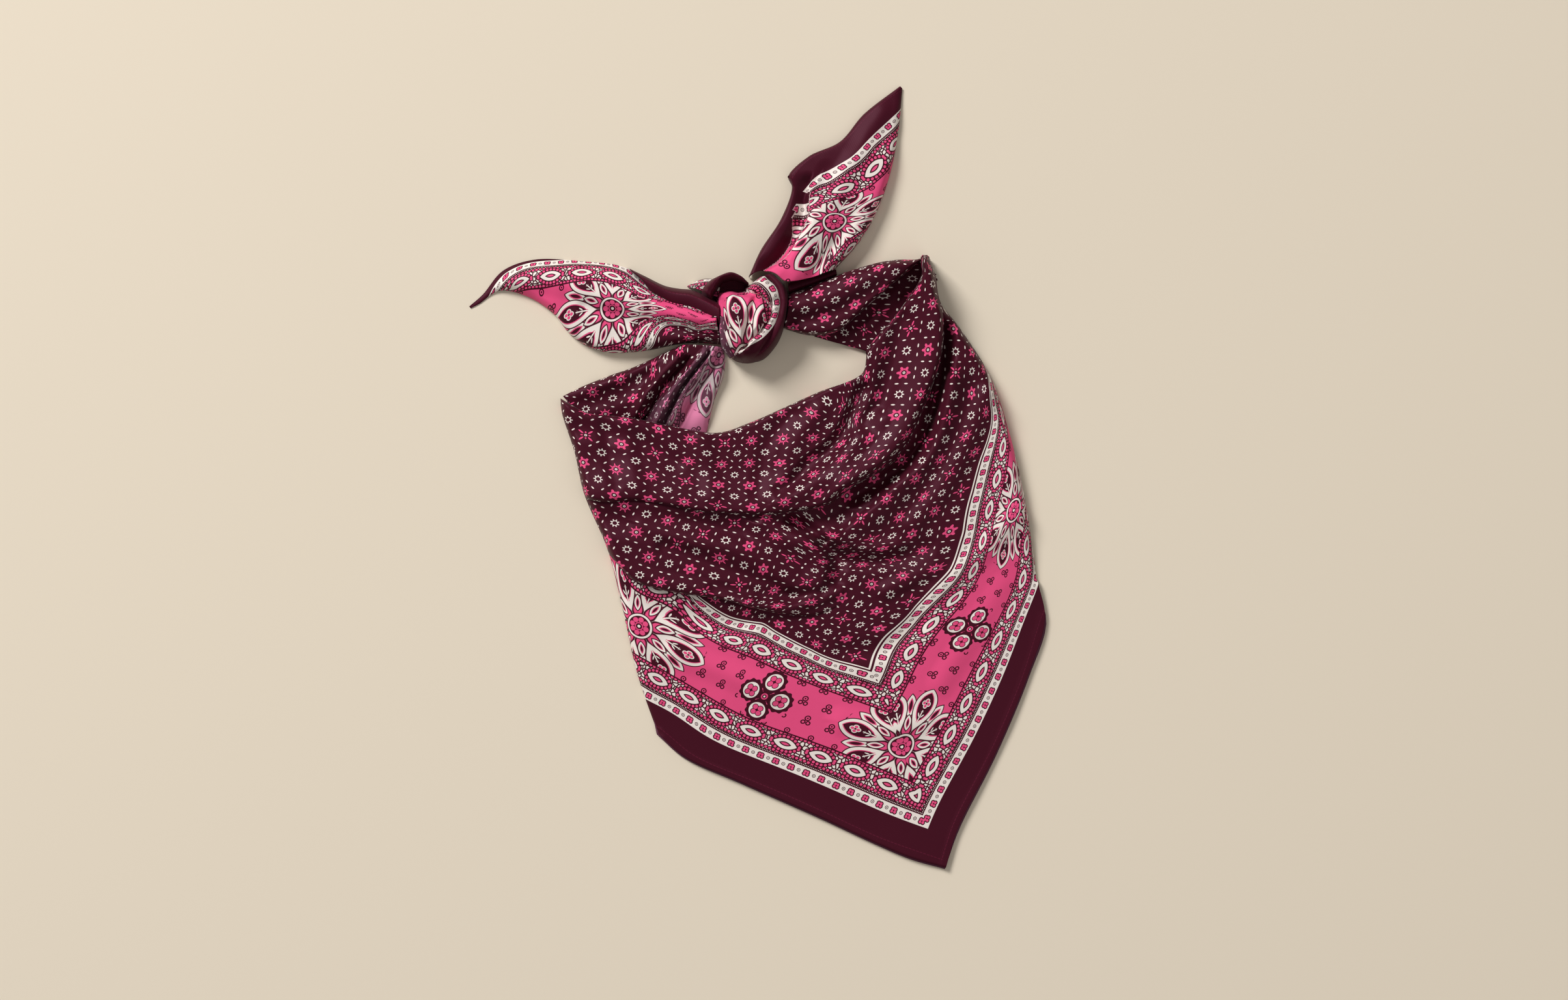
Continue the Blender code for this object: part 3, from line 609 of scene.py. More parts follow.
def add_cloth(name, plan, height, cloth, material, thickness=THICKNESS):
    """Mesh of a grid of points, kept above the floor and turned to face up, thickened below by a modifier."""
    count = plan.shape[:2]
    index = np.arange(count[0] * count[1]).reshape(count)
    quads = np.stack([index[:-1, :-1], index[:-1, 1:], index[1:, 1:], index[1:, :-1]], axis=-1).reshape(-1, 4)
    flat = plan.reshape(-1, 2)
    one, other = flat[quads[:, 2]] - flat[quads[:, 0]], flat[quads[:, 3]] - flat[quads[:, 1]]
    if (one[:, 0] * other[:, 1] - one[:, 1] * other[:, 0]).sum() < 0:
        quads = quads[:, ::-1]
    lowest = thickness + CLEARANCE
    points = np.concatenate([flat, np.maximum(height, lowest).reshape(-1, 1)], axis=1) * MM
    mesh = bpy.data.meshes.new(name)
    mesh.from_pydata(points.tolist(), [], quads.tolist())
    mesh.polygons.foreach_set("use_smooth", np.ones(len(quads), dtype=bool))
    layer = mesh.uv_layers.new(name="cloth")
    layer.data.foreach_set("uv", (cloth.reshape(-1, 2)[quads.ravel()] * MM).ravel())
    mesh.materials.append(material)
    mesh.update()
    piece = bpy.data.objects.new(name, mesh)
    bpy.context.collection.objects.link(piece)
    shell = piece.modifiers.new("thickness", "SOLIDIFY")
    shell.thickness = thickness * MM
    shell.offset = -1
    return piece


def declare(piece, nodes):
    """Parents the piece to the part's root body, so that it rides with the part, and hides the solids that it
    stands for.
    """
    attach(piece, "root")
    if nodes:
        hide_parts(*nodes)


def cell_anchors(rows):
    """Anchors given as field cells: plan points and the cloth coordinates of the cell centres."""
    rows = np.array(rows, dtype=float)
    return rows[:, 2:], FIELD_START + CELL * (rows[:, :2] + 0.5)


# The tables of the pieces:
# CELLS hold a field cell's column and row, and the plan place of its middle.
# BORDER and CLOTH hold a plan place and its cloth coordinates.
# LEVELS hold heights, in rows along the piece and columns across it.
# FOLDS hold the rise at both ends, the width on the left and right, and the points of the run.
FIELD_CELLS = [
    (0, 0, 53, -97), (2, 0, 31, -91), (4, 0, 11.5, -80), (5, 0, 2, -76), (1, 1, 48.5, -88),
    (3, 1, 30, -78.5), (5, 1, 11, -71), (7, 1, -5, -69), (9, 1, -28, -62), (11, 1, -52, -57),
    (12, 1, -63, -53), (2, 2, 46.5, -77), (14, 2, -82, -34), (0, 2, 65.5, -82), (1, 3, 65, -73),
    (3, 3, 46, -66), (5, 3, 27, -57), (7, 3, 3.5, -50), (9, 3, -20, -44), (11, 3, -43, -36.5),
    (13, 3, -65, -30), (15, 3, -88, -20), (0, 4, 82.5, -68.5), (2, 4, 62, -58), (4, 4, 41, -53),
    (6, 4, 18, -44), (8, 4, -4, -37.5), (10, 4, -29, -31), (12, 4, -48, -23.5), (14, 4, -71.5, -16),
    (1, 5, 79, -53), (3, 5, 57, -47), (7, 5, 10, -32), (9, 5, -12, -25), (11, 5, -32, -18.5),
    (0, 6, 96, -50), (8, 6, 5, -22), (0, 8, 103.5, -30), (2, 8, 84, -31), (4, 8, 62, -34), (6, 8, 41, -32),
    (3, 9, 77, -21.5), (5, 9, 56, -22), (1, 9, 96, -18), (0, 10, 110, -8), (2, 10, 90, -11),
    (4, 10, 70, -12), (1, 11, 104, 2), (3, 11, 86, -1), (0, 12, 117, 13), (2, 12, 99, 9), (1, 13, 113, 22),
    (3, 13, 91, 19.5), (0, 14, 124, 34.5), (2, 14, 103.5, 32), (1, 15, 116, 45), (2, 16, 107, 56),
    (1, 17, 117, 67.5), (2, 18, 106, 80),
]
BORDER = [
    (102.5, -212.2, 0, 0), (65, -199, 40, 0), (35, -185, 73, 0), (-8, -166, 120, 0), (-39, -152, 154, 0),
    (-54, -139, 172, 0), (109, -191, 0, 22), (129, -151, 0, 67), (147, -108, 0, 114), (156.3, -77, 0, 146),
    (152, -55, 19, 168), (149, -35, 26, 187), (148, -20, 35, 203), (141, 0, 57, 225), (139.5, 20, 62, 246),
    (135, 30, 72, 258), (130, 40, 79, 270), (127, 49, 86, 280), (61, -104, 88.9, 88.9),
    (30, -93, 122, 88.9), (13, -85, 141, 88.9), (3, -78, 155, 88.9), (-14, -76, 178, 88.9),
    (-27, -68, 194, 88.9), (-33, -64, 201, 88.9), (85, -70, 88.9, 138), (104.5, -50, 88.9, 166),
    (111.5, -30, 88.9, 191), (116, -8, 88.9, 216), (122, 13, 88.9, 241), (126.5, 34.5, 88.9, 266),
    (-61, -121, 186, 16), (-65, -107, 196, 27), (-73, -72, 217, 55), (-81, -41, 236, 62),
    (-66, -57, 216, 70), (-50, -61, 200, 74), (-36, -65, 192, 80), (4, -119, 127.9, 51.9),
]
DRAPE_CELLS = [
    (23, 5, -92.5, 22.5), (21, 5, -76, 4), (19, 5, -58, -12.5), (23, 7, -71, 31), (22, 8, -53, 26),
    (21, 9, -36, 20), (20, 10, -17, 18), (19, 11, -3, 19.5), (19, 13, 13, 35), (18, 14, 29, 35),
    (18, 6, -39, -13.5), (18, 10, -4, 7.5), (18, 12, 14.5, 20.5), (17, 7, -21, -15.5), (17, 9, -4, -5),
    (17, 11, 12, 7), (17, 13, 30, 21), (17, 15, 47, 38), (16, 8, -2, -16.5), (16, 10, 14, -1.5),
    (16, 12, 30, 10), (16, 14, 46, 26), (15, 9, 15, -14), (15, 11, 30.5, 1.5), (14, 10, 33, -9.5),
    (14, 12, 45.5, 10), (14, 14, 53, 32.5), (14, 16, 59, 54), (13, 13, 61, 20), (13, 15, 65, 44),
    (13, 17, 69, 67), (13, 19, 73.5, 87), (12, 12, 64, 12), (12, 14, 75.5, 33), (12, 16, 79.5, 56),
    (12, 18, 83, 80), (12, 20, 86, 101), (11, 15, 88, 44), (11, 17, 92, 68), (11, 19, 94.5, 93),
    (11, 21, 94, 115),
]
BIB_LEVELS = [
    (8, 9, 9.5, 13, 19), (9, 10, 11, 12, 13), (8.5, 9, 9.5, 9.5, 9), (7.5, 7, 7, 7, 7),
    (6.5, 6, 5.5, 5, 4.5), (4.5, 4, 3.5, 3, 2.7),
]
PANEL_FOLDS = [
    (-2.6, -2.2, 12, 11, [(44, -20), (3, -28), (-36, -26), (-90, -22)]),
    (-7.0, -5.0, 8, 8, [(101, 80), (99.5, 61), (96.5, 42), (92, 24), (84, 10), (70, 0), (52, -11)]),
    (4.4, 2.4, 14, 3.4, [
        (104, 54), (99.5, 38), (95.5, 26), (89, 14), (79, 0), (68, -13), (57, -22), (42, -33),
    ]),
    (2.0, 1.6, 9, 9, [(124, 44), (112, 14), (98, -10), (84, -26)]),
    (2.4, 1.4, 6, 8, [(42, -32), (53, -37), (63, -38.5), (76, -36.5)]),
    (-2.6, -1.4, 8, 7, [(36, -38), (46, -44.5), (63, -46), (79, -43.5), (92, -38)]),
    (3.0, 2.0, 6, 12, [(3, -26), (18.5, -31), (30, -37), (35.5, -45.3), (35, -54), (31, -63)]),
    (-2.8, -1.6, 6, 5, [(18, -24), (30, -30), (40, -38), (44, -47), (43, -56)]),
    (1.8, 1.2, 10, 8, [(-62, -26), (-30, -34), (0, -44), (22, -58)]),
    (-1.8, -1.4, 7, 7, [(-50, -38), (-22, -48), (2, -57), (18, -64)]),
    (-1.6, -1.4, 6, 6, [(-23, -61), (-3, -63), (16, -65), (32, -63)]),
    (1.6, 1.4, 5, 5, [(-7, -69), (14, -70.5), (31, -67.5), (45, -62)]),
    (-2.0, -1.2, 10, 10, [(-8, -80), (-38, -76), (-62, -70), (-77, -58)]),
    (1.8, 1.4, 8, 7, [(70, -62), (82, -56), (96, -50)]),
    (-1.4, -1.2, 9, 9, [(48, -94), (70, -93), (88, -78)]),
    (1.6, 1.0, 10, 8, [(140, -20), (118, -44), (96, -62)]),
    (1.4, 1.2, 10, 10, [(-46, -96), (-18, -106), (8, -118)]),
    (1.2, 1.0, 12, 9, [(46, -134), (66, -138), (88, -134)]),
    (1.2, 1.0, 10, 10, [(134, -60), (118, -84), (100, -112)]),
]
PLEAT_FOLDS = [(3.0, 2.0, 14, 7, [(-4, -67), (-34, -60), (-58, -55), (-72, -48), (-81, -38)])]
DRAPE_FOLDS = [
    (3.2, 4.4, 7, 17, [(93, 108), (96.5, 90), (97, 72), (93, 54), (86, 36), (77, 20), (65, 7), (50, -4)]),
    (-2.5, -3.0, 9, 9, [(78, 84), (73, 62), (67, 42), (60, 28)]),
    (3.4, 3.2, 8, 24, [(52, -8), (24, -17), (-6, -18), (-36, -16), (-66, -10), (-94, -12)]),
    (-3.0, -2.0, 7, 6, [(57, 47), (47, 25), (38, 14), (29, 8), (22, 0), (13, -8)]),
    (2.6, 1.4, 8, 7, [(66, 32), (54, 18), (45, 9), (35, 0), (24, -8), (12, -13)]),
    (1.4, 1.0, 8, 8, [(34, 36), (22, 20), (16, 4), (13, -10)]),
    (-1.4, -1.0, 7, 7, [(18, 34), (6, 18), (2, 2), (0, -8)]),
    (1.0, 0.8, 7, 7, [(-70, 28), (-68, 10), (-64, -6)]),
    (-1.0, -0.8, 6, 6, [(-82, 30), (-80, 12), (-76, -4)]),
    (1.2, 1.0, 8, 8, [(-30, 20), (-26, 4), (-24, -10)]),
    (-1.2, -1.0, 8, 8, [(-96, 26), (-66, 20), (-44, 8)]),
]


def bib_height(plan, folds):
    """Height of the bib: a bent plate through the table's entries, plus the folds."""
    levels = np.array(BIB_LEVELS, dtype=float)
    entries, _, _ = grid(BIB_SIDES, levels.shape[::-1])
    return bent_plate(entries.reshape(-1, 2), levels.ravel())(plan) + FOLD_DEPTH * fold_height(plan, folds)


def make_panel(material):
    """The front triangle: bent plate plus folds, rolled at the sides, low and flat at the hems."""
    rolled = ("left", "right", "top")
    plan, _, _ = grid(BIB_SIDES, (185, 225), rolled, (210, 255))
    height = bib_height(plan, PANEL_FOLDS)
    # It lies lower under the drape.
    gap, side, _ = beside(plan, DRAPE_EDGE, 90)
    height -= 3.0 * ease(np.where(side > 0, gap, 0) / 5.0)
    # Both hems lie flat, with the turned edge a little higher.
    for hem in (BIB_HEM, BIB_RIGHT_HEM):
        gap, _, _ = beside(plan, hem, 70)
        height = HEM_HEIGHT + (height - HEM_HEIGHT) * ease(gap / 60) + 0.4 * ease((3.7 - gap) / 0.6)
    height += 0.25 * soft_noise(plan, 34, 4) * ease(height / 4)
    for curve in (BIB_LEFT, BIB_RIGHT_ROLLED, BIB_TOP):
        height = roll_under(plan, height, curve, EDGE_ROLL)
    # The field's cells left of x = 5 and the cell (5, 1) lie on the fold, except for the first row.
    points, cells = cell_anchors([c for c in FIELD_CELLS if c[2] > 5 and c[:2] != (5, 1) or c[1] == 0])
    border = np.array(BORDER)
    cloth = bent_plate(np.vstack([points, border[:, :2]]), np.vstack([cells, border[:, 2:]]), 20.0)(plan)
    # What the fold hides is plain.
    gap, side, place = beside(plan, PLEAT_EDGE)
    hidden = (side > 0) & (gap > 1.5) & (place > 0) & (plan[..., 0] < 0)
    cloth = unroll(np.where(hidden[..., None], PLAIN, cloth), plan, height, rolled)
    return add_cloth("bib_panel", plan, height, cloth, material, BIB_THICKNESS)


def make_pleat(material):
    """The plum field folded over the pink band at the lower left.

    Its height is the panel's plus a lift that eases to nothing at its top and right.
    """
    left = stretch_of(BIB_LEFT, (-94, -7), PLEAT_EDGE[0])
    sides = {
        "top": [left[0], (-60, -6), (-30, -12), (3, -14), (44, -6), (70, 8)],
        "bottom": [left[-1], *PLEAT_EDGE[1:]],
        "left": left,
        "right": [(70, 8), (66, -20), PLEAT_EDGE[-1]],
    }
    rolled = ("left", "bottom")
    plan, _, _ = grid(sides, (170, 90), rolled, (175, 60))
    x = plan[..., 0]
    ground = bib_height(plan, PANEL_FOLDS)
    lift = 3.2 * (1 - ease((x - 8) / 52)) - 0.9 * ease((x - 30) / 26)
    lift *= ease(beside(plan, sides["top"], 40)[0] / 10)
    lift += fold_height(plan, PLEAT_FOLDS)
    height = roll_under(plan, ground + lift, PLEAT_EDGE, 2.0, ground - 0.9)
    height = roll_under(plan, height, BIB_LEFT, EDGE_ROLL)
    cloth = unroll(cell_cloth(FIELD_CELLS, 0.0)(plan), plan, height, rolled)
    return add_cloth("bib_fold", plan, height, cloth, material, BIB_THICKNESS)


def make_drape(material):
    """The deep fold under the neck edge and up to the lobe, over the panel.

    Its height is the bib's with its own folds, and eases to the panel's at its lower edge by a quarter
    ellipse, which is wider at the lower right.
    """
    left = stretch_of(BIB_LEFT, BIB_LEFT[0], DRAPE_EDGE[0])
    right = stretch_of(BIB_RIGHT, BIB_RIGHT[0], DRAPE_EDGE[-1])
    bottom = [left[-1], *DRAPE_EDGE[1:-1], right[-1]]
    sides = {"top": BIB_TOP, "bottom": bottom, "left": left, "right": right}
    rolled = ("left", "right", "top", "bottom")
    plan, _, _ = grid(sides, (260, 110), rolled, (250, 60))
    x, y = plan[..., 0], plan[..., 1]
    ground = bib_height(plan, PANEL_FOLDS) - 1.2
    height = bib_height(plan, DRAPE_FOLDS) + 1.4 + 0.3 * soft_noise(plan, 26, 8)
    radius = 2.2 + 3.2 * ease((x - 30) / 20) * ease((56 - y) / 16)
    height = ground + (height - ground) * drop(beside(plan, bottom, 120)[0], radius)
    for curve in (BIB_LEFT, BIB_RIGHT_ROLLED):
        height = roll_under(plan, height, curve, EDGE_ROLL)
    # Where layers lie under the neck edge, it rolls down to them and not to the floor.
    layers = 5.6 * ease((-24 - x) / 8) * ease((x + 106) / 8) + 3.6 * ease((y - 62) / 8)
    height = roll_under(plan, height, NECK_EDGE, 2.0, layers)
    height = roll_under(plan, height, [NECK_EDGE[-1], *LOBE_LEFT], 1.8, layers)
    cloth = unroll(cell_cloth(DRAPE_CELLS, 20.0)(plan), plan, height, rolled)
    return add_cloth("bib_drape", plan, height, cloth, material, BIB_THICKNESS)


def make_back(material):
    """The back triangle, level on the floor: a millimetre past the hems, and inside the other edges."""
    top, bottom, left, right = (np.array(BIB_SIDES[side], dtype=float) for side in BIB_SIDES)
    rolled = len(BIB_RIGHT_ROLLED)
    bottom += (-0.4, -0.9)
    right[rolled:] += (0.9, -0.4)
    left += (3.5, 0)
    right[:rolled] -= (3.5, 0)
    top += (0, -4)
    left[-1], right[-1] = bottom[0], bottom[-1]
    top[0], top[-1] = left[0], right[0]
    plan, _, _ = grid({"top": top, "bottom": bottom, "left": left, "right": right}, (60, 70))
    height, cloth = np.full(plan.shape[:2], BACK_HEIGHT), np.full(plan.shape, PLAIN)
    return add_cloth("bib_back", plan, height, cloth, material, BACK_THICKNESS)


STRAND_SIDES = {
    "top": [(-105.4, 43.8), (-100, 38), (-92, 31.6), (-68, 28.8), (-44, 23.5), (-28, 20.6)],
    "bottom": [(-41, 71.6), (-30, 71), (-23, 70.6), (-18.4, 70)],
    "left": [(-105.4, 43.8), (-95, 49), (-80, 55), (-66, 60), (-49, 68), (-41, 71.6)],
    "right": [(-28, 20.6), (-23, 42), (-18.4, 54), (-17.2, 64), (-18.4, 70)],
}
STRAND_LEVELS = [(2.5, 2.5, 3, 3.5, 2.5), (6, 7, 7, 6, 3.5), (9, 11, 11, 9, 6)]
STRAND_FOLDS = [
    (4.6, 3.4, 6.0, 2.2, [(-66.5, 31), (-59, 45), (-51, 55), (-43, 63)]),
    (-5.0, -3.6, 2.2, 3.2, [(-62.5, 30), (-54, 46), (-46, 56), (-38, 64)]),
    (4.8, 3.4, 3.4, 2.4, [(-54.5, 29), (-45.5, 46), (-36, 58), (-28, 67)]),
    (-4.2, -3.0, 1.6, 1.6, [(-50.7, 29), (-41.2, 47), (-32.2, 59), (-25.7, 67)]),
    (4.4, 3.2, 2.8, 2.4, [(-47.5, 29), (-37.5, 48), (-29, 60), (-23.5, 67)]),
    (-4.8, -3.2, 1.8, 4.0, [(-44.2, 27), (-34.3, 46), (-26.5, 58), (-21, 67)]),
    (1.8, 1.6, 7, 7, [(-34, 24), (-26, 42), (-20.5, 56)]),
    (-2.4, -2.4, 8, 8, [(-96, 38), (-76, 44), (-60, 54)]),
    (1.6, 1.6, 6, 6, [(-88, 50), (-70, 56), (-52, 66)]),
]
STRAND_CELLS = [
    (24, 8, -89, 46), (23, 8, -78.5, 42.5), (22, 8, -67, 43), (23, 9, -73.5, 52.5), (24, 7, -93, 37),
    (22, 9, -64, 52), (21, 9, -56, 58), (20, 9, -49.5, 65.5),
]
PLEAT_CELLS = [
    (21, 8, -40.1, 47.3), (23, 8, -54.5, 33.4), (22, 8, -49.5, 39.4), (21, 9.4, -39.6, 59.7),
    (20, 8, -31.7, 55.2), (20, 9, -31.1, 64.7), (24, 8, -60, 27),
]
FLAP_CLOTH = [
    (-24, 48, 185, 49), (-25, 30, 166, 49), (-20, 62, 200, 50), (-44, 30, 163, 69), (-34, 52, 187, 62),
]
RIGHT_SIDES = {
    "top": [(17, 99.4), (27, 103), (45, 110), (66, 116.4), (78, 118), (86, 118), (89.6, 118.8)],
    "bottom": [(14.8, 80.4), (27, 77), (38, 77), (46, 80), (54, 87), (64, 96), (75.5, 106), (82.5, 111.6),
               (87, 115.8), (89.4, 117.8)],
    "left": [(17, 99.4), (17, 91), (14.8, 80.4)],
    "right": [(89.6, 118.8), (89.4, 117.8)],
}
RIGHT_LEVELS = [(11, 12, 13, 13, 10), (13, 13.5, 13.5, 13, 10), (10, 11, 12, 12.5, 10)]
RIGHT_FOLDS = [
    (2.0, 1.5, 7, 9, [(18, 92), (38, 97), (60, 106), (82, 116)]),
    (-2.4, -1.0, 6, 6, [(18, 85), (34, 86), (50, 93), (66, 104)]),
]
RIGHT_CELLS = [
    (12, 15, 26, 90), (13, 15, 36.5, 86), (14, 15, 48, 83), (12, 16, 33, 99), (13, 16, 42, 95),
    (14, 16, 53, 93), (13, 17, 51, 105.5), (14, 17, 59, 103.5), (14, 18, 65.5, 113), (12, 14, 19.5, 80),
]
UNDER_SIDES = {
    "top": [(36, 80), (44, 83), (51, 89), (61, 99), (72, 108.5), (82, 115), (89, 118.2)],
    "bottom": [(31, 76.2), (42, 73), (55, 69.6), (63, 68), (75, 82), (87, 96), (92, 106), (91, 114)],
    "left": [(36, 80), (31, 76.2)],
    "right": [(89, 118.2), (91, 114)],
}
UNDER_LEVELS = [(2.0, 2.2, 1.8), (2.6, 3.0, 2.2), (2.0, 2.6, 2.2)]
UNDER_FOLDS = [(1.2, 0.8, 5, 5, [(46, 74), (62, 84), (76, 100)])]
UNDER_CELLS = [
    (12, 12, 64, 89), (13, 11, 58.5, 80), (14, 11, 48, 78), (12, 11, 70, 80), (12, 13, 70, 98),
    (13, 12, 54, 90),
]
ROLL_EDGES = (
    [(17, 105), (21, 106.4), (31, 108.8), (43, 112.6)],
    [(17.4, 98.6), (22, 100.4), (31, 103.8), (43.4, 108.8)],
)
TAIL_LEFT_SIDES = {
    "top": [(-21.8, 94), (-36, 100), (-54, 104), (-72, 114), (-94, 117), (-121, 118), (-138, 112),
            (-149, 99), (-156.3, 92.6)],
    "bottom": [(-19.6, 72), (-38, 72.5), (-64, 68), (-84, 68), (-100, 76), (-111, 89), (-125, 98),
               (-140, 101), (-151, 94), (-155.6, 91.6)],
    "left": [(-21.8, 94), (-21.5, 83), (-19.6, 72)],
    "right": [(-156.3, 92.6), (-155.6, 91.6)],
}
TAIL_LEFT_LEVELS = [(12, 9, 8, 7, 5.5, 2.7), (15, 11, 9, 8, 6, 2.7), (12, 9, 8, 7, 5, 2.7)]
TAIL_LEFT_FOLDS = [
    (3.0, 1.5, 9, 12, [(-24, 84), (-48, 90), (-74, 96), (-104, 104), (-130, 108)]),
    (-2.6, -1.4, 7, 7, [(-24, 77), (-46, 81), (-70, 84), (-92, 92)]),
    (-2.0, -1.0, 4, 4, [(-24, 88), (-40, 93), (-56, 97)]),
]
TAIL_LEFT_CLOTH = [
    (-156, 92, 141, 6), (-138, 112, 121, 13), (-121, 118, 101, 16.5), (-112, 118, 91, 18.5),
    (-100, 117.5, 77, 22), (-88, 117, 63.5, 23), (-80, 116, 54, 22.5), (-70, 113, 42.7, 21),
    (-128, 99, 109, 38), (-118, 94, 98, 42), (-110, 88, 88.7, 49), (-100, 76, 77, 61), (-90, 70, 65.7, 66),
    (-80, 68, 54, 69.5), (-70, 68, 42.7, 72), (-62, 69, 33.5, 80), (-56, 72, 26.6, 87.5), (-48, 82, 17, 89),
    (-38, 72, 6, 110), (-25, 74, -9, 107), (-38, 80, 6, 95), (-27, 79, -7, 94), (-30, 84, -3, 52),
    (-54, 103, 22, 17), (-36, 99.5, 3, 17), (-42, 91, 8, 40), (-78, 91, 51.9, 51.9),
]
TAIL_HEM_EDGES = (
    [(-62, 106.5), (-58, 101), (-50, 96), (-44, 92.5), (-36, 91), (-28, 87), (-20, 82)],
    [(-69, 113), (-60, 108.6), (-50, 103.8), (-42, 102.2), (-36, 101.6), (-28, 98.6), (-20, 94.6)],
)
TAIL_RIGHT_SIDES = {
    "top": [(-4.6, 108.4), (2, 123), (13, 140), (19, 157), (17, 163), (28, 174), (45, 182), (58, 197),
            (77.6, 212.2)],
    "bottom": [(42, 112.2), (56, 128), (66, 146), (73, 167), (77, 189), (79, 211)],
    "left": [(-4.6, 108.4), (3, 111.4), (10, 109.4), (15, 105.4), (20, 105.2), (31, 108), (42, 112.2)],
    "right": [(77.6, 212.2), (79, 211)],
}
TAIL_RIGHT_LEVELS = [(13, 10, 7.5, 6, 4, 2.7), (16, 12, 10, 8, 5, 2.7), (12, 10, 9, 8, 5, 2.7)]
TAIL_RIGHT_FOLDS = [
    (3.4, 3.0, 11, 1.6, [(31.5, 158), (28.7, 152), (28, 141.5), (23.3, 130), (15.2, 117.8), (8, 113)]),
    (-4.2, -4.0, 2.2, 8, [(28, 158), (25.6, 151), (25.2, 141.5), (20.6, 129), (12.6, 117), (5, 112)]),
    (2.5, 1.6, 9, 9, [(20, 110), (32, 130), (42, 152), (54, 174), (68, 198)]),
    (-2.4, -1.2, 7, 7, [(8, 113), (20, 132), (30, 150), (38, 166)]),
    (-2.2, -1.0, 5, 5, [(30, 109), (42, 126), (52, 142)]),
]
TAIL_RIGHT_CLOTH = [
    (78, 212, 0, 0), (58, 197, 25, 0), (44, 183, 45, 0), (28, 175, 63, 0), (16, 163, 80, 0),
    (78, 199, 12, 16.6), (62, 184, 33, 16.6), (50, 172, 50, 16.6), (33, 163, 68, 16.6),
    (25, 154.5, 80, 16.6), (77, 190.5, 17, 23.2), (64, 179, 36, 23.2), (50, 166, 55, 23.2),
    (38, 158, 68, 23.2), (72, 166, 40, 37.2), (60, 155.5, 54, 37.2), (54, 152.5, 61, 37.2),
    (66, 146, 57, 55), (60, 135, 68, 66), (42, 138, 84, 51.9), (28.5, 153, 79, 24.5), (27.9, 141.5, 92, 38),
    (23.1, 130, 104, 42), (15, 117.8, 119, 44), (6.2, 113.1, 129, 42), (30, 118, 109, 52),
    (42, 114, 99, 72),
]
TAIL_RIGHT_CREASE = [
    (29, 154.5), (28.5, 152), (27.9, 141.5), (23.1, 130), (15, 117.8), (6.2, 113.1), (-2, 109),
]
TAIL_RIGHT_HEM = [(21, 158), (20.4, 150), (19.1, 139), (19, 130), (16.6, 123.4), (10.3, 115.9), (3, 111)]
TAIL_RIGHT_SHIFT = 120.0
KNOT_SIDES = {
    "top": [(-21.6, 99.6), (-15, 100.8), (-9, 100.6), (-3, 104.8), (3, 109), (9, 107.8)],
    "bottom": [(-15, 65.5), (-11, 62.6), (-4, 61.6), (2, 63.6), (6, 67.5)],
    "left": [(-21.6, 99.6), (-22, 93), (-20.4, 77), (-15, 65.5)],
    "right": [(9, 107.8), (14.6, 102), (16.5, 92), (13.5, 79), (6, 67.5)],
}
KNOT_LEVELS = [(17, 20, 19, 16), (20, 23, 22, 18), (19, 22.5, 22, 17), (15, 17, 17, 14)]
KNOT_FOLDS = [
    (2.2, 1.6, 6, 6, [(-15, 99), (-13, 88), (-10, 76), (-7, 64)]),
    (-3.4, -2.4, 3, 3, [(-19, 95), (-17, 84), (-13, 74), (-9, 66)]),
    (-5.0, -2.5, 2.2, 4.0, [(-9.5, 100.5), (-5, 99.4), (1, 97), (7, 93.2)]),
    (2.0, 1.4, 4, 3, [(-6, 104), (2, 102), (9, 97)]),
    (-2.6, -3.4, 3, 3, [(-1, 95), (-4, 86), (-5.5, 78), (-6, 70)]),
    (1.8, 1.4, 4, 4, [(3, 92), (1, 84), (-2, 76), (-5, 70)]),
    (-3.0, -2.6, 3.4, 1.6, [(-8, 68.5), (-4, 72.4), (2, 78), (6.4, 83.6), (8, 88)]),
]
KNOT_CREASE = [
    (-24, 103), (-12, 101), (-8, 99.8), (-3, 98.8), (1.5, 97.4), (6.2, 93.6), (8.2, 88.5), (6.6, 83.6),
    (2, 78), (-5, 71.5), (-11, 66),
]
KNOT_BORDER = [
    (5, 108, 244, 17), (10, 103, 238, 17), (13, 95, 229, 17), (12, 87, 220, 17), (8, 80, 211, 17),
    (3, 74.5, 203, 17), (-4, 70.5, 195, 17), (-2, 100.5, 243, 27.5), (2, 98, 237, 27), (4, 94, 230, 27),
    (3.5, 89, 222, 27), (0.5, 84, 213, 27), (-4, 79, 205, 27), (-14, 104, 256, 31),
]
KNOT_HEM_EDGES = (
    [(4, 108.4), (9.5, 103), (12.5, 95), (11.5, 87), (7.5, 80), (2.5, 74.5), (-4, 70), (-9, 67)],
    [(9.6, 109.4), (15.4, 103.2), (17.2, 95), (15.8, 86), (13.4, 77), (10.2, 70.8), (3, 63.4), (-8, 61.6)],
)
GATHER_EDGES = (
    [(-16.4, 86), (-15.4, 78), (-14.2, 71), (-11.5, 65.5)],
    [(-20.6, 86), (-20.6, 78), (-19, 70), (-14.5, 64)],
)
TUCK_SIDES = {
    "top": [(-38, 103.6), (-31, 107), (-25, 107.6), (-19.8, 105)],
    "bottom": [(-37, 102.8), (-31, 101.4), (-25, 98.6), (-20.8, 97.2)],
    "left": [(-38, 103.6), (-37, 102.8)],
    "right": [(-19.8, 105), (-20.8, 97.2)],
}
TUCK_LEVELS = [(2, 5, 6), (2, 7, 6), (2, 6, 6)]
TUCK_CLOTH = [(-38, 103, 150, 27), (-20, 105, 170, 24), (-21, 97, 168, 40), (-30, 100, 160, 36)]
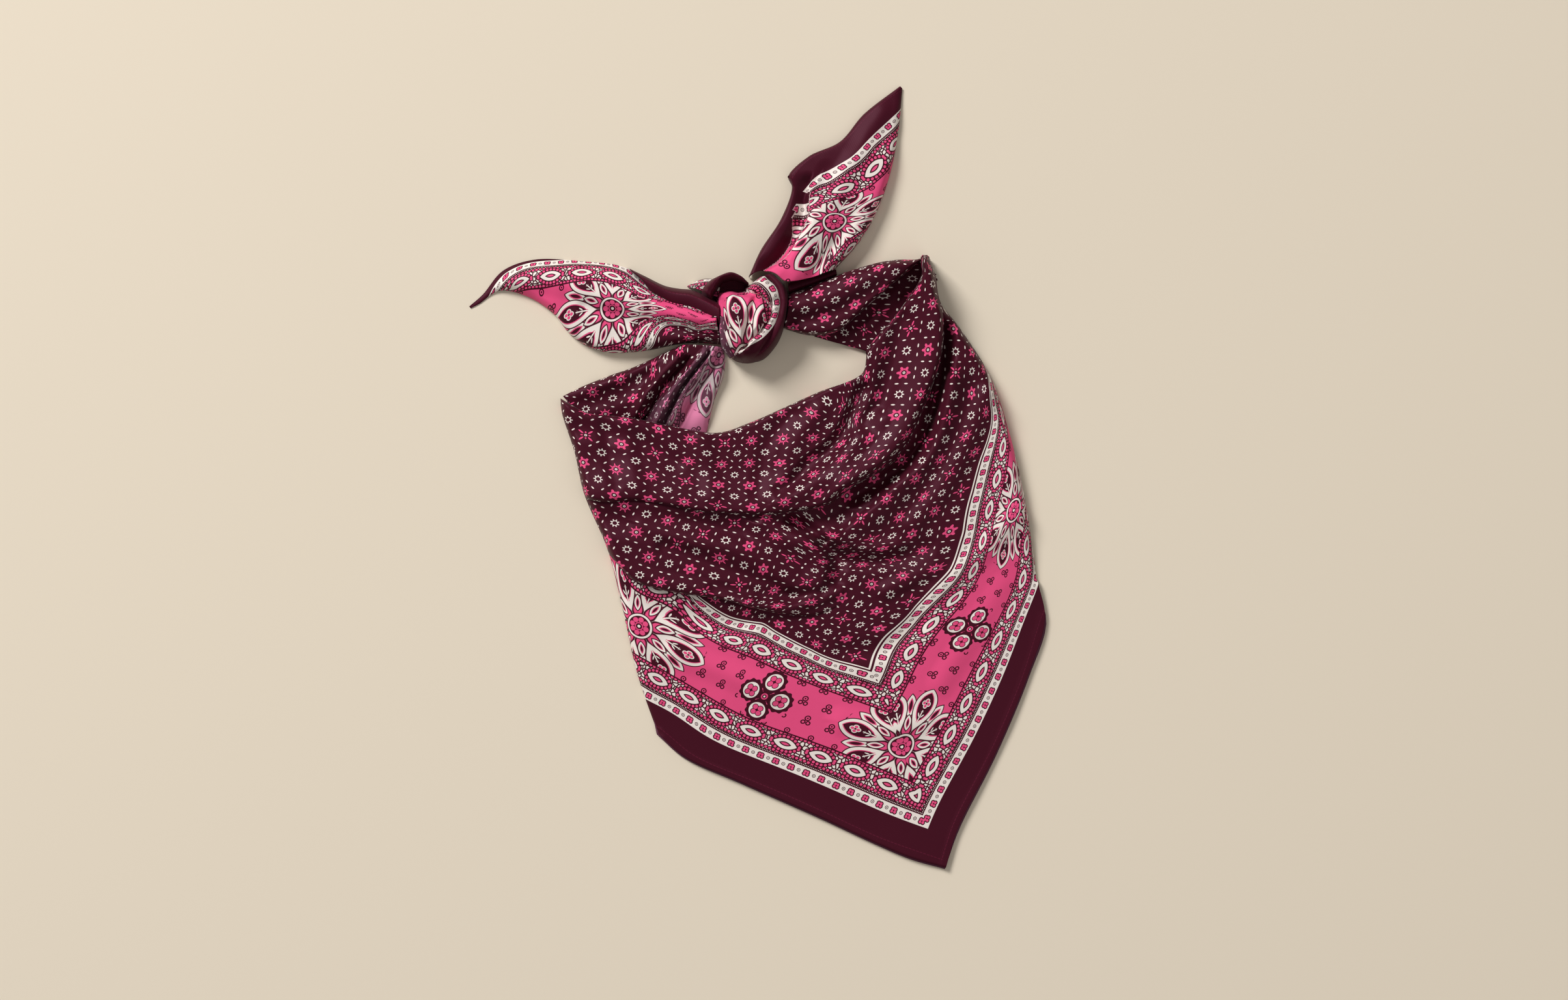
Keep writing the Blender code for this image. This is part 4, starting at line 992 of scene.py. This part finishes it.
LOOP_EDGES = (
    [(-28.5, 95.5), (-30, 100.6), (-26.4, 105.6), (-20, 108.8), (-14, 110.6), (-8.4, 108.4), (-4.4, 104.5)],
    [(-21.5, 92.5), (-20.5, 97), (-18, 98.6), (-14, 99), (-11, 98.8), (-8.5, 99), (-5.5, 101.5)],
)


def anchored(table, shift=0.0):
    """Cloth coordinates as a bent plate through plan points with known coordinates."""
    table = np.array(table, dtype=float)
    return bent_plate(table[:, :2], table[:, 2:] + (shift, 0), 5.0)


def cell_cloth(cells, stiffness=30.0):
    """Cloth coordinates as a bent plate through field cells."""
    return bent_plate(*cell_anchors(cells), stiffness)


def make_strip(name, sides, counts, levels, folds, cloth, material, rolled, sizes, span=(0, 1), layers=None):
    """A stretch of cloth as one patch: eased level table, folds, slight unevenness and rolled edges.

    Layers is the height that its bottom edge rolls down to, where that isn't the floor.
    """
    plan, u, v = grid(sides, counts, rolled, sizes, span)
    height = table_height(levels, u, v) + fold_height(plan, folds)
    height += WAVE_HEIGHT * soft_noise(plan, WAVE_LENGTH, 1)
    for side, radius in rolled.items():
        lowest = layers(plan) if layers and side == "bottom" else LOW_EDGE
        height = roll_under(plan, height, sides[side], radius, lowest)
    return add_cloth(name, plan, height, unroll(cloth(plan), plan, height, rolled), material)


def hem_strip(name, edges, counts, levels, material, ground, bulge, start=(150, 0)):
    """A hem turned over an edge, as a narrow patch between its two edges.

    Its height is the level along it plus a bulge, half a sine wave across it to the power 0.7. The last
    two fifths of its width fall to the ground by a quarter ellipse.
    """
    plan, u, v = ribbon(*edges, counts)
    height = np.interp(v, np.linspace(0, 1, len(levels)), levels)
    height = height + bulge * np.sin(np.pi * np.clip(u, 0, 1)) ** 0.7
    height = ground + (height - ground) * np.sqrt(np.clip(1 - np.clip((u - 0.6) / 0.4, 0, 1) ** 2, 0, 1))
    length = np.linalg.norm(np.diff(np.array(edges[1]), axis=0), axis=1).sum()
    cloth = np.stack([start[0] + v * length, start[1] + (1 - u) * 10], axis=-1)
    return add_cloth(name, plan, height, cloth, material)


def make_left_strand(face, reverse):
    """The left stretch as three strips of one gathered patch: plum face, pleats and turned flap."""
    cuts = (
        ("strand_face", (70, 90), (0, 0.57), cell_cloth(STRAND_CELLS), face),
        ("strand_pleats", (70, 90), (0.55, 0.73), cell_cloth(PLEAT_CELLS), reverse),
        ("strand_flap", (60, 80), (0.715, 1.0), anchored(FLAP_CLOTH), reverse),
    )
    rolled = {"left": 5.0, "right": 3.0, "top": 12.0}
    return [
        make_strip(name, STRAND_SIDES, counts, STRAND_LEVELS, STRAND_FOLDS, cloth, material, rolled, (60, 50),
                   span)
        for name, counts, span, cloth, material in cuts
    ]


def right_layers(plan):
    """Height of the layer that the strand's lower edge lies on, from x = 38 to the lobe's tip."""
    return 3.4 * ease((plan[..., 0] - 38) / 6)


def make_right_strand(face):
    """The right stretch, the low layer in the hollow under it, and the thin roll along its top."""
    strand = make_strip("neck_strand", RIGHT_SIDES, (150, 60), RIGHT_LEVELS, RIGHT_FOLDS,
                        cell_cloth(RIGHT_CELLS), face, {"top": 5.0, "bottom": 1.8}, (80, 26),
                        layers=right_layers)
    under = make_strip("neck_under", UNDER_SIDES, (60, 24), UNDER_LEVELS, UNDER_FOLDS,
                       cell_cloth(UNDER_CELLS, 60.0), face, {}, (60, 12))
    roll = hem_strip("neck_roll", ROLL_EDGES, (16, 50), (5, 5, 2.5), face, 0.6, 1.6)
    return [strand, under, roll]


def tail_right_cloth(plan):
    """The corner's print; left of the crease the border it hides, and the plain hem turned over that."""
    cloth = anchored(TAIL_RIGHT_CLOTH, TAIL_RIGHT_SHIFT)(plan)
    low = plan[..., 1] < 154
    past_crease = low & (beside(plan, TAIL_RIGHT_CREASE)[1] < 0)
    past_hem = low & (beside(plan, TAIL_RIGHT_HEM)[1] < 0)
    border = np.stack([plan[..., 0] + 104.3, 16.6 + 0.92 * (147.8 - plan[..., 1])], axis=-1)
    cloth = np.where(past_crease[..., None], border, cloth)
    return np.where(past_hem[..., None], (208.0, 9.0), cloth)


def make_tails(face):
    """The two free corners, and the plain hem turned over the left one."""
    left = make_strip("tail_left_face", TAIL_LEFT_SIDES, (220, 90), TAIL_LEFT_LEVELS, TAIL_LEFT_FOLDS,
                      anchored(TAIL_LEFT_CLOTH, PITCH), face, {"top": 9.0, "bottom": 4.0}, (150, 34))
    left_hem = hem_strip("tail_left_hem", TAIL_HEM_EDGES, (30, 90), (6, 8.5, 10, 12, 15), face, 1.0, 2.2)
    right = make_strip("tail_right_face", TAIL_RIGHT_SIDES, (220, 90), TAIL_RIGHT_LEVELS, TAIL_RIGHT_FOLDS,
                       tail_right_cloth, face, {"top": 1.6, "bottom": 4.0}, (130, 34))
    return [left, left_hem, right]


def knot_cloth(plan):
    """Left of the crease one leaf rosette laid on without stretch, right of it the border along the hem."""
    from_centre = plan - (-5.6, 63.5)
    along, across = from_centre @ (-0.2, 0.98), from_centre @ (0.98, 0.2)
    leaves = np.stack([BAND_MIDDLE + PITCH + along, BAND_MIDDLE - across], axis=-1)
    side = beside(plan, KNOT_CREASE)[1]
    return np.where((side > 0)[..., None], anchored(KNOT_BORDER)(plan), leaves)


def make_loop(material):
    """The loop at the top of the knot: from its outer edge over a rim and down into the dark hollow.

    Across it the height rises to the rim by a quarter ellipse and eases down past it; small waves
    run along it.
    """
    plan, u, v = ribbon(*LOOP_EDGES, (44, 70))
    rim = np.interp(v, [0, 0.15, 0.4, 0.7, 0.9, 1], [6, 14, 18, 20, 19, 15])
    wide = np.interp(v, [0, 0.3, 0.5, 1], [0.75, 0.62, 0.22, 0.2])
    fall = 1 - ease((u - wide * 0.8) / 0.22)
    waves = 0.5 * np.sin(v * 40 + u * 6) * ease(u / 0.3)
    height = 1.0 + drop(u / wide, 0.55) * rim * (0.22 + 0.78 * fall) + waves * fall
    cloth = np.stack([150 + v * 40, (1 - u) * 12], axis=-1)
    return add_cloth("knot_loop_hem", plan, height, cloth, material)


def make_knot(face, reverse):
    """The wrap over the knot, the hem round its right side, the loop, the tucked lace and the gathers."""
    wrap = make_strip("knot_face", KNOT_SIDES, (90, 110), KNOT_LEVELS, KNOT_FOLDS, knot_cloth, face,
                      dict.fromkeys(KNOT_SIDES, EDGE_ROLL), (34, 44))
    hem = hem_strip("knot_hem", KNOT_HEM_EDGES, (30, 110), (15, 17, 18.5, 19, 18, 16, 14, 12), face, 1.0, 1.8)
    loop = make_loop(face)
    tuck = make_strip("knot_tuck_face", TUCK_SIDES, (50, 24), TUCK_LEVELS, [], anchored(TUCK_CLOTH), face,
                      {"top": 2.0}, (18, 8))
    gather = hem_strip("knot_gather", GATHER_EDGES, (18, 60), (17, 17.5, 16, 11), reverse, 3.0, 1.2,
                       (200, 132))
    return [wrap, hem, loop, tuck, gather]


# ---------------------------------------------------------------- add-on


def colour_setting(name, description, value):
    """A colour with its alpha, as one setting of the panel."""
    return bpy.props.FloatVectorProperty(
        name=name, description=description, default=(*value, 1), size=4, subtype="COLOR", min=0, max=1
    )


class BandanaSettings(bpy.types.PropertyGroup):
    """The colours of the satin and the floor, and where the camera hangs."""

    plum: colour_setting("Plum", "Ground colour of the right side", (0.053, 0.0045, 0.0125))
    pink: colour_setting("Pink", "Pink of the right side", (0.78, 0.078, 0.215))
    white: colour_setting("White", "White of the right side", (0.84, 0.76, 0.70))
    plum_reverse: colour_setting("Plum, wrong side", "Ground colour of the wrong side", (0.125, 0.042, 0.068))
    pink_reverse: colour_setting("Pink, wrong side", "Pink of the wrong side", (0.76, 0.235, 0.40))
    white_reverse: colour_setting("White, wrong side", "White of the wrong side", (0.62, 0.52, 0.52))
    floor: colour_setting("Floor", "Colour of the floor", (0.80, 0.70, 0.56))
    roughness: bpy.props.FloatProperty(
        name="Satin roughness", description="Roughness of the right side", default=0.52, min=0, max=1,
        subtype="FACTOR",
    )
    camera_height: bpy.props.FloatProperty(
        name="Camera height", description="Height of the camera above the floor", default=1.657, min=0.2,
        unit="LENGTH",
    )


# The stage in metres and watts: each light is a square with its power, its side and its place.
FLOOR_REACH = 3.0
LIGHTS = (("key light", 205, 1.5, (-2.4, 2.8, 2.7)), ("fill light", 9, 2.2, (1.4, -1.0, 2.2)))
STUDIO_COLOUR = (1, 0.98, 0.95, 1)
STUDIO_STRENGTH = 0.27
# The camera's lens and sensor in millimetres, and its place above the middle of the picture.
LENS, SENSOR = 70, 36
CAMERA_PLACE = (0.0147, -0.0126)


def make_floor(colour):
    """A plain square floor, level at 0."""
    corners = [(x * FLOOR_REACH, y * FLOOR_REACH, 0) for x, y in ((-1, -1), (1, -1), (1, 1), (-1, 1))]
    mesh = bpy.data.meshes.new("floor")
    mesh.from_pydata(corners, [], [(0, 1, 2, 3)])
    material = bpy.data.materials.new("pale floor")
    material.use_nodes = True
    shader = material.node_tree.nodes["Principled BSDF"]
    shader.inputs["Base Color"].default_value = colour
    shader.inputs["Roughness"].default_value = 0.9
    mesh.materials.append(material)
    floor = bpy.data.objects.new("floor", mesh)
    bpy.context.collection.objects.link(floor)
    return floor


def make_light(name, energy, size, place):
    """A square light at a place, turned by its two angles from there to the middle of the floor."""
    lamp = bpy.data.lights.new(name, "AREA")
    lamp.energy = energy
    lamp.size = size
    light = bpy.data.objects.new(name, lamp)
    light.location = place
    x, y, z = place
    light.rotation_euler = (math.atan2(math.hypot(x, y), z), 0, math.atan2(y, x) + math.pi / 2)
    bpy.context.collection.objects.link(light)


def palette(settings):
    """The two cloths, right side and wrong side, each made once."""
    right = (settings.plum, settings.pink, settings.white, settings.roughness, 0.03)
    wrong = (settings.plum_reverse, settings.pink_reverse, settings.white_reverse, 0.6, 0.06)
    sides = (("printed satin", right), ("satin reverse", wrong))
    return [bpy.data.materials.get(name) or cloth_material(name, *looks) for name, looks in sides]


class BANDANA_OT_bib(bpy.types.Operator):
    """Makes the front triangle, its two overlapping folds and the back triangle."""

    bl_idname = "bandana.bib"
    bl_label = "Bib"

    def execute(self, context):
        face, reverse = palette(context.scene.bandana)
        declare(make_panel(face), ["bib_front"])
        declare(make_pleat(face), [])
        declare(make_drape(face), [])
        declare(make_back(reverse), ["bib_layers"])
        return {"FINISHED"}


class BANDANA_OT_strands(bpy.types.Operator):
    """Makes the two stretches from the bib to the knot, with their pleats, flap and roll."""

    bl_idname = "bandana.strands"
    bl_label = "Neck strands"

    def execute(self, context):
        face, reverse = palette(context.scene.bandana)
        strand, pleats, flap = make_left_strand(face, reverse)
        declare(strand, ["neck_left", "neck_left_layers"])
        declare(pleats, ["neck_left_pleats"])
        declare(flap, ["neck_left_flap"])
        strand, under, roll = make_right_strand(face)
        declare(strand, ["neck_right", "neck_right_layers"])
        declare(under, ["neck_right_under"])
        declare(roll, ["neck_right_roll"])
        return {"FINISHED"}


class BANDANA_OT_tails(bpy.types.Operator):
    """Makes the two free corners and the hem turned over the left one."""

    bl_idname = "bandana.tails"
    bl_label = "Tails"

    def execute(self, context):
        face, _ = palette(context.scene.bandana)
        left, left_hem, right = make_tails(face)
        declare(left, ["tail_left", "tail_left_layers"])
        declare(left_hem, ["tail_left_turn"])
        stands_for = ["tail_right", "tail_right_layers", "tail_right_turn"]
        declare(right, stands_for)
        return {"FINISHED"}


class BANDANA_OT_knot(bpy.types.Operator):
    """Makes the knot: the wrap, the hem turned round it, the loop, the tucked lace and the gathers."""

    bl_idname = "bandana.knot"
    bl_label = "Knot"

    def execute(self, context):
        face, reverse = palette(context.scene.bandana)
        wrap, hem, loop, tuck, gather = make_knot(face, reverse)
        declare(wrap, ["knot_wrap", "knot_layers"])
        declare(gather, [])
        declare(hem, ["knot_turn"])
        declare(loop, ["knot_loop"])
        declare(tuck, ["knot_tuck"])
        return {"FINISHED"}


class BANDANA_OT_stage(bpy.types.Operator):
    """Makes the floor, the soft lights and the camera straight above."""

    bl_idname = "bandana.stage"
    bl_label = "Stage"

    def execute(self, context):
        settings = context.scene.bandana
        make_floor(settings.floor)
        for light in LIGHTS:
            make_light(*light)
        context.scene.view_settings.view_transform = "Standard"
        world = bpy.data.worlds.new("studio")
        world.use_nodes = True
        sky = world.node_tree.nodes["Background"]
        sky.inputs["Color"].default_value = STUDIO_COLOUR
        sky.inputs["Strength"].default_value = STUDIO_STRENGTH
        context.scene.world = world
        lens = bpy.data.cameras.new("camera")
        lens.lens = LENS
        lens.sensor_width = SENSOR
        camera = bpy.data.objects.new("camera", lens)
        camera.location = (*CAMERA_PLACE, settings.camera_height)
        context.collection.objects.link(camera)
        context.scene.camera = camera
        return {"FINISHED"}


OPERATORS = (BANDANA_OT_bib, BANDANA_OT_strands, BANDANA_OT_tails, BANDANA_OT_knot, BANDANA_OT_stage)


class BANDANA_PT_pieces(bpy.types.Panel):
    """Lists the settings and the pieces."""

    bl_idname = "BANDANA_PT_pieces"
    bl_label = "Bandana"
    bl_space_type = "VIEW_3D"
    bl_region_type = "UI"
    bl_category = "Bandana"

    def draw(self, context):
        for name in BandanaSettings.__annotations__:
            self.layout.prop(context.scene.bandana, name)
        for operator in OPERATORS:
            self.layout.operator(operator.bl_idname)


def register():
    """Adds the settings, the operators and the panel."""
    bpy.utils.register_class(BandanaSettings)
    bpy.types.Scene.bandana = bpy.props.PointerProperty(type=BandanaSettings)
    for item in (*OPERATORS, BANDANA_PT_pieces):
        bpy.utils.register_class(item)


def unregister():
    """Takes them away again, in the other order."""
    for item in (BANDANA_PT_pieces, *reversed(OPERATORS)):
        bpy.utils.unregister_class(item)
    del bpy.types.Scene.bandana
    bpy.utils.unregister_class(BandanaSettings)


def main():
    """Makes the bandana and its stage."""
    register()
    bpy.ops.bandana.bib()
    bpy.ops.bandana.strands()
    bpy.ops.bandana.tails()
    bpy.ops.bandana.knot()
    bpy.ops.bandana.stage()


if __name__ == "__main__":
    main()
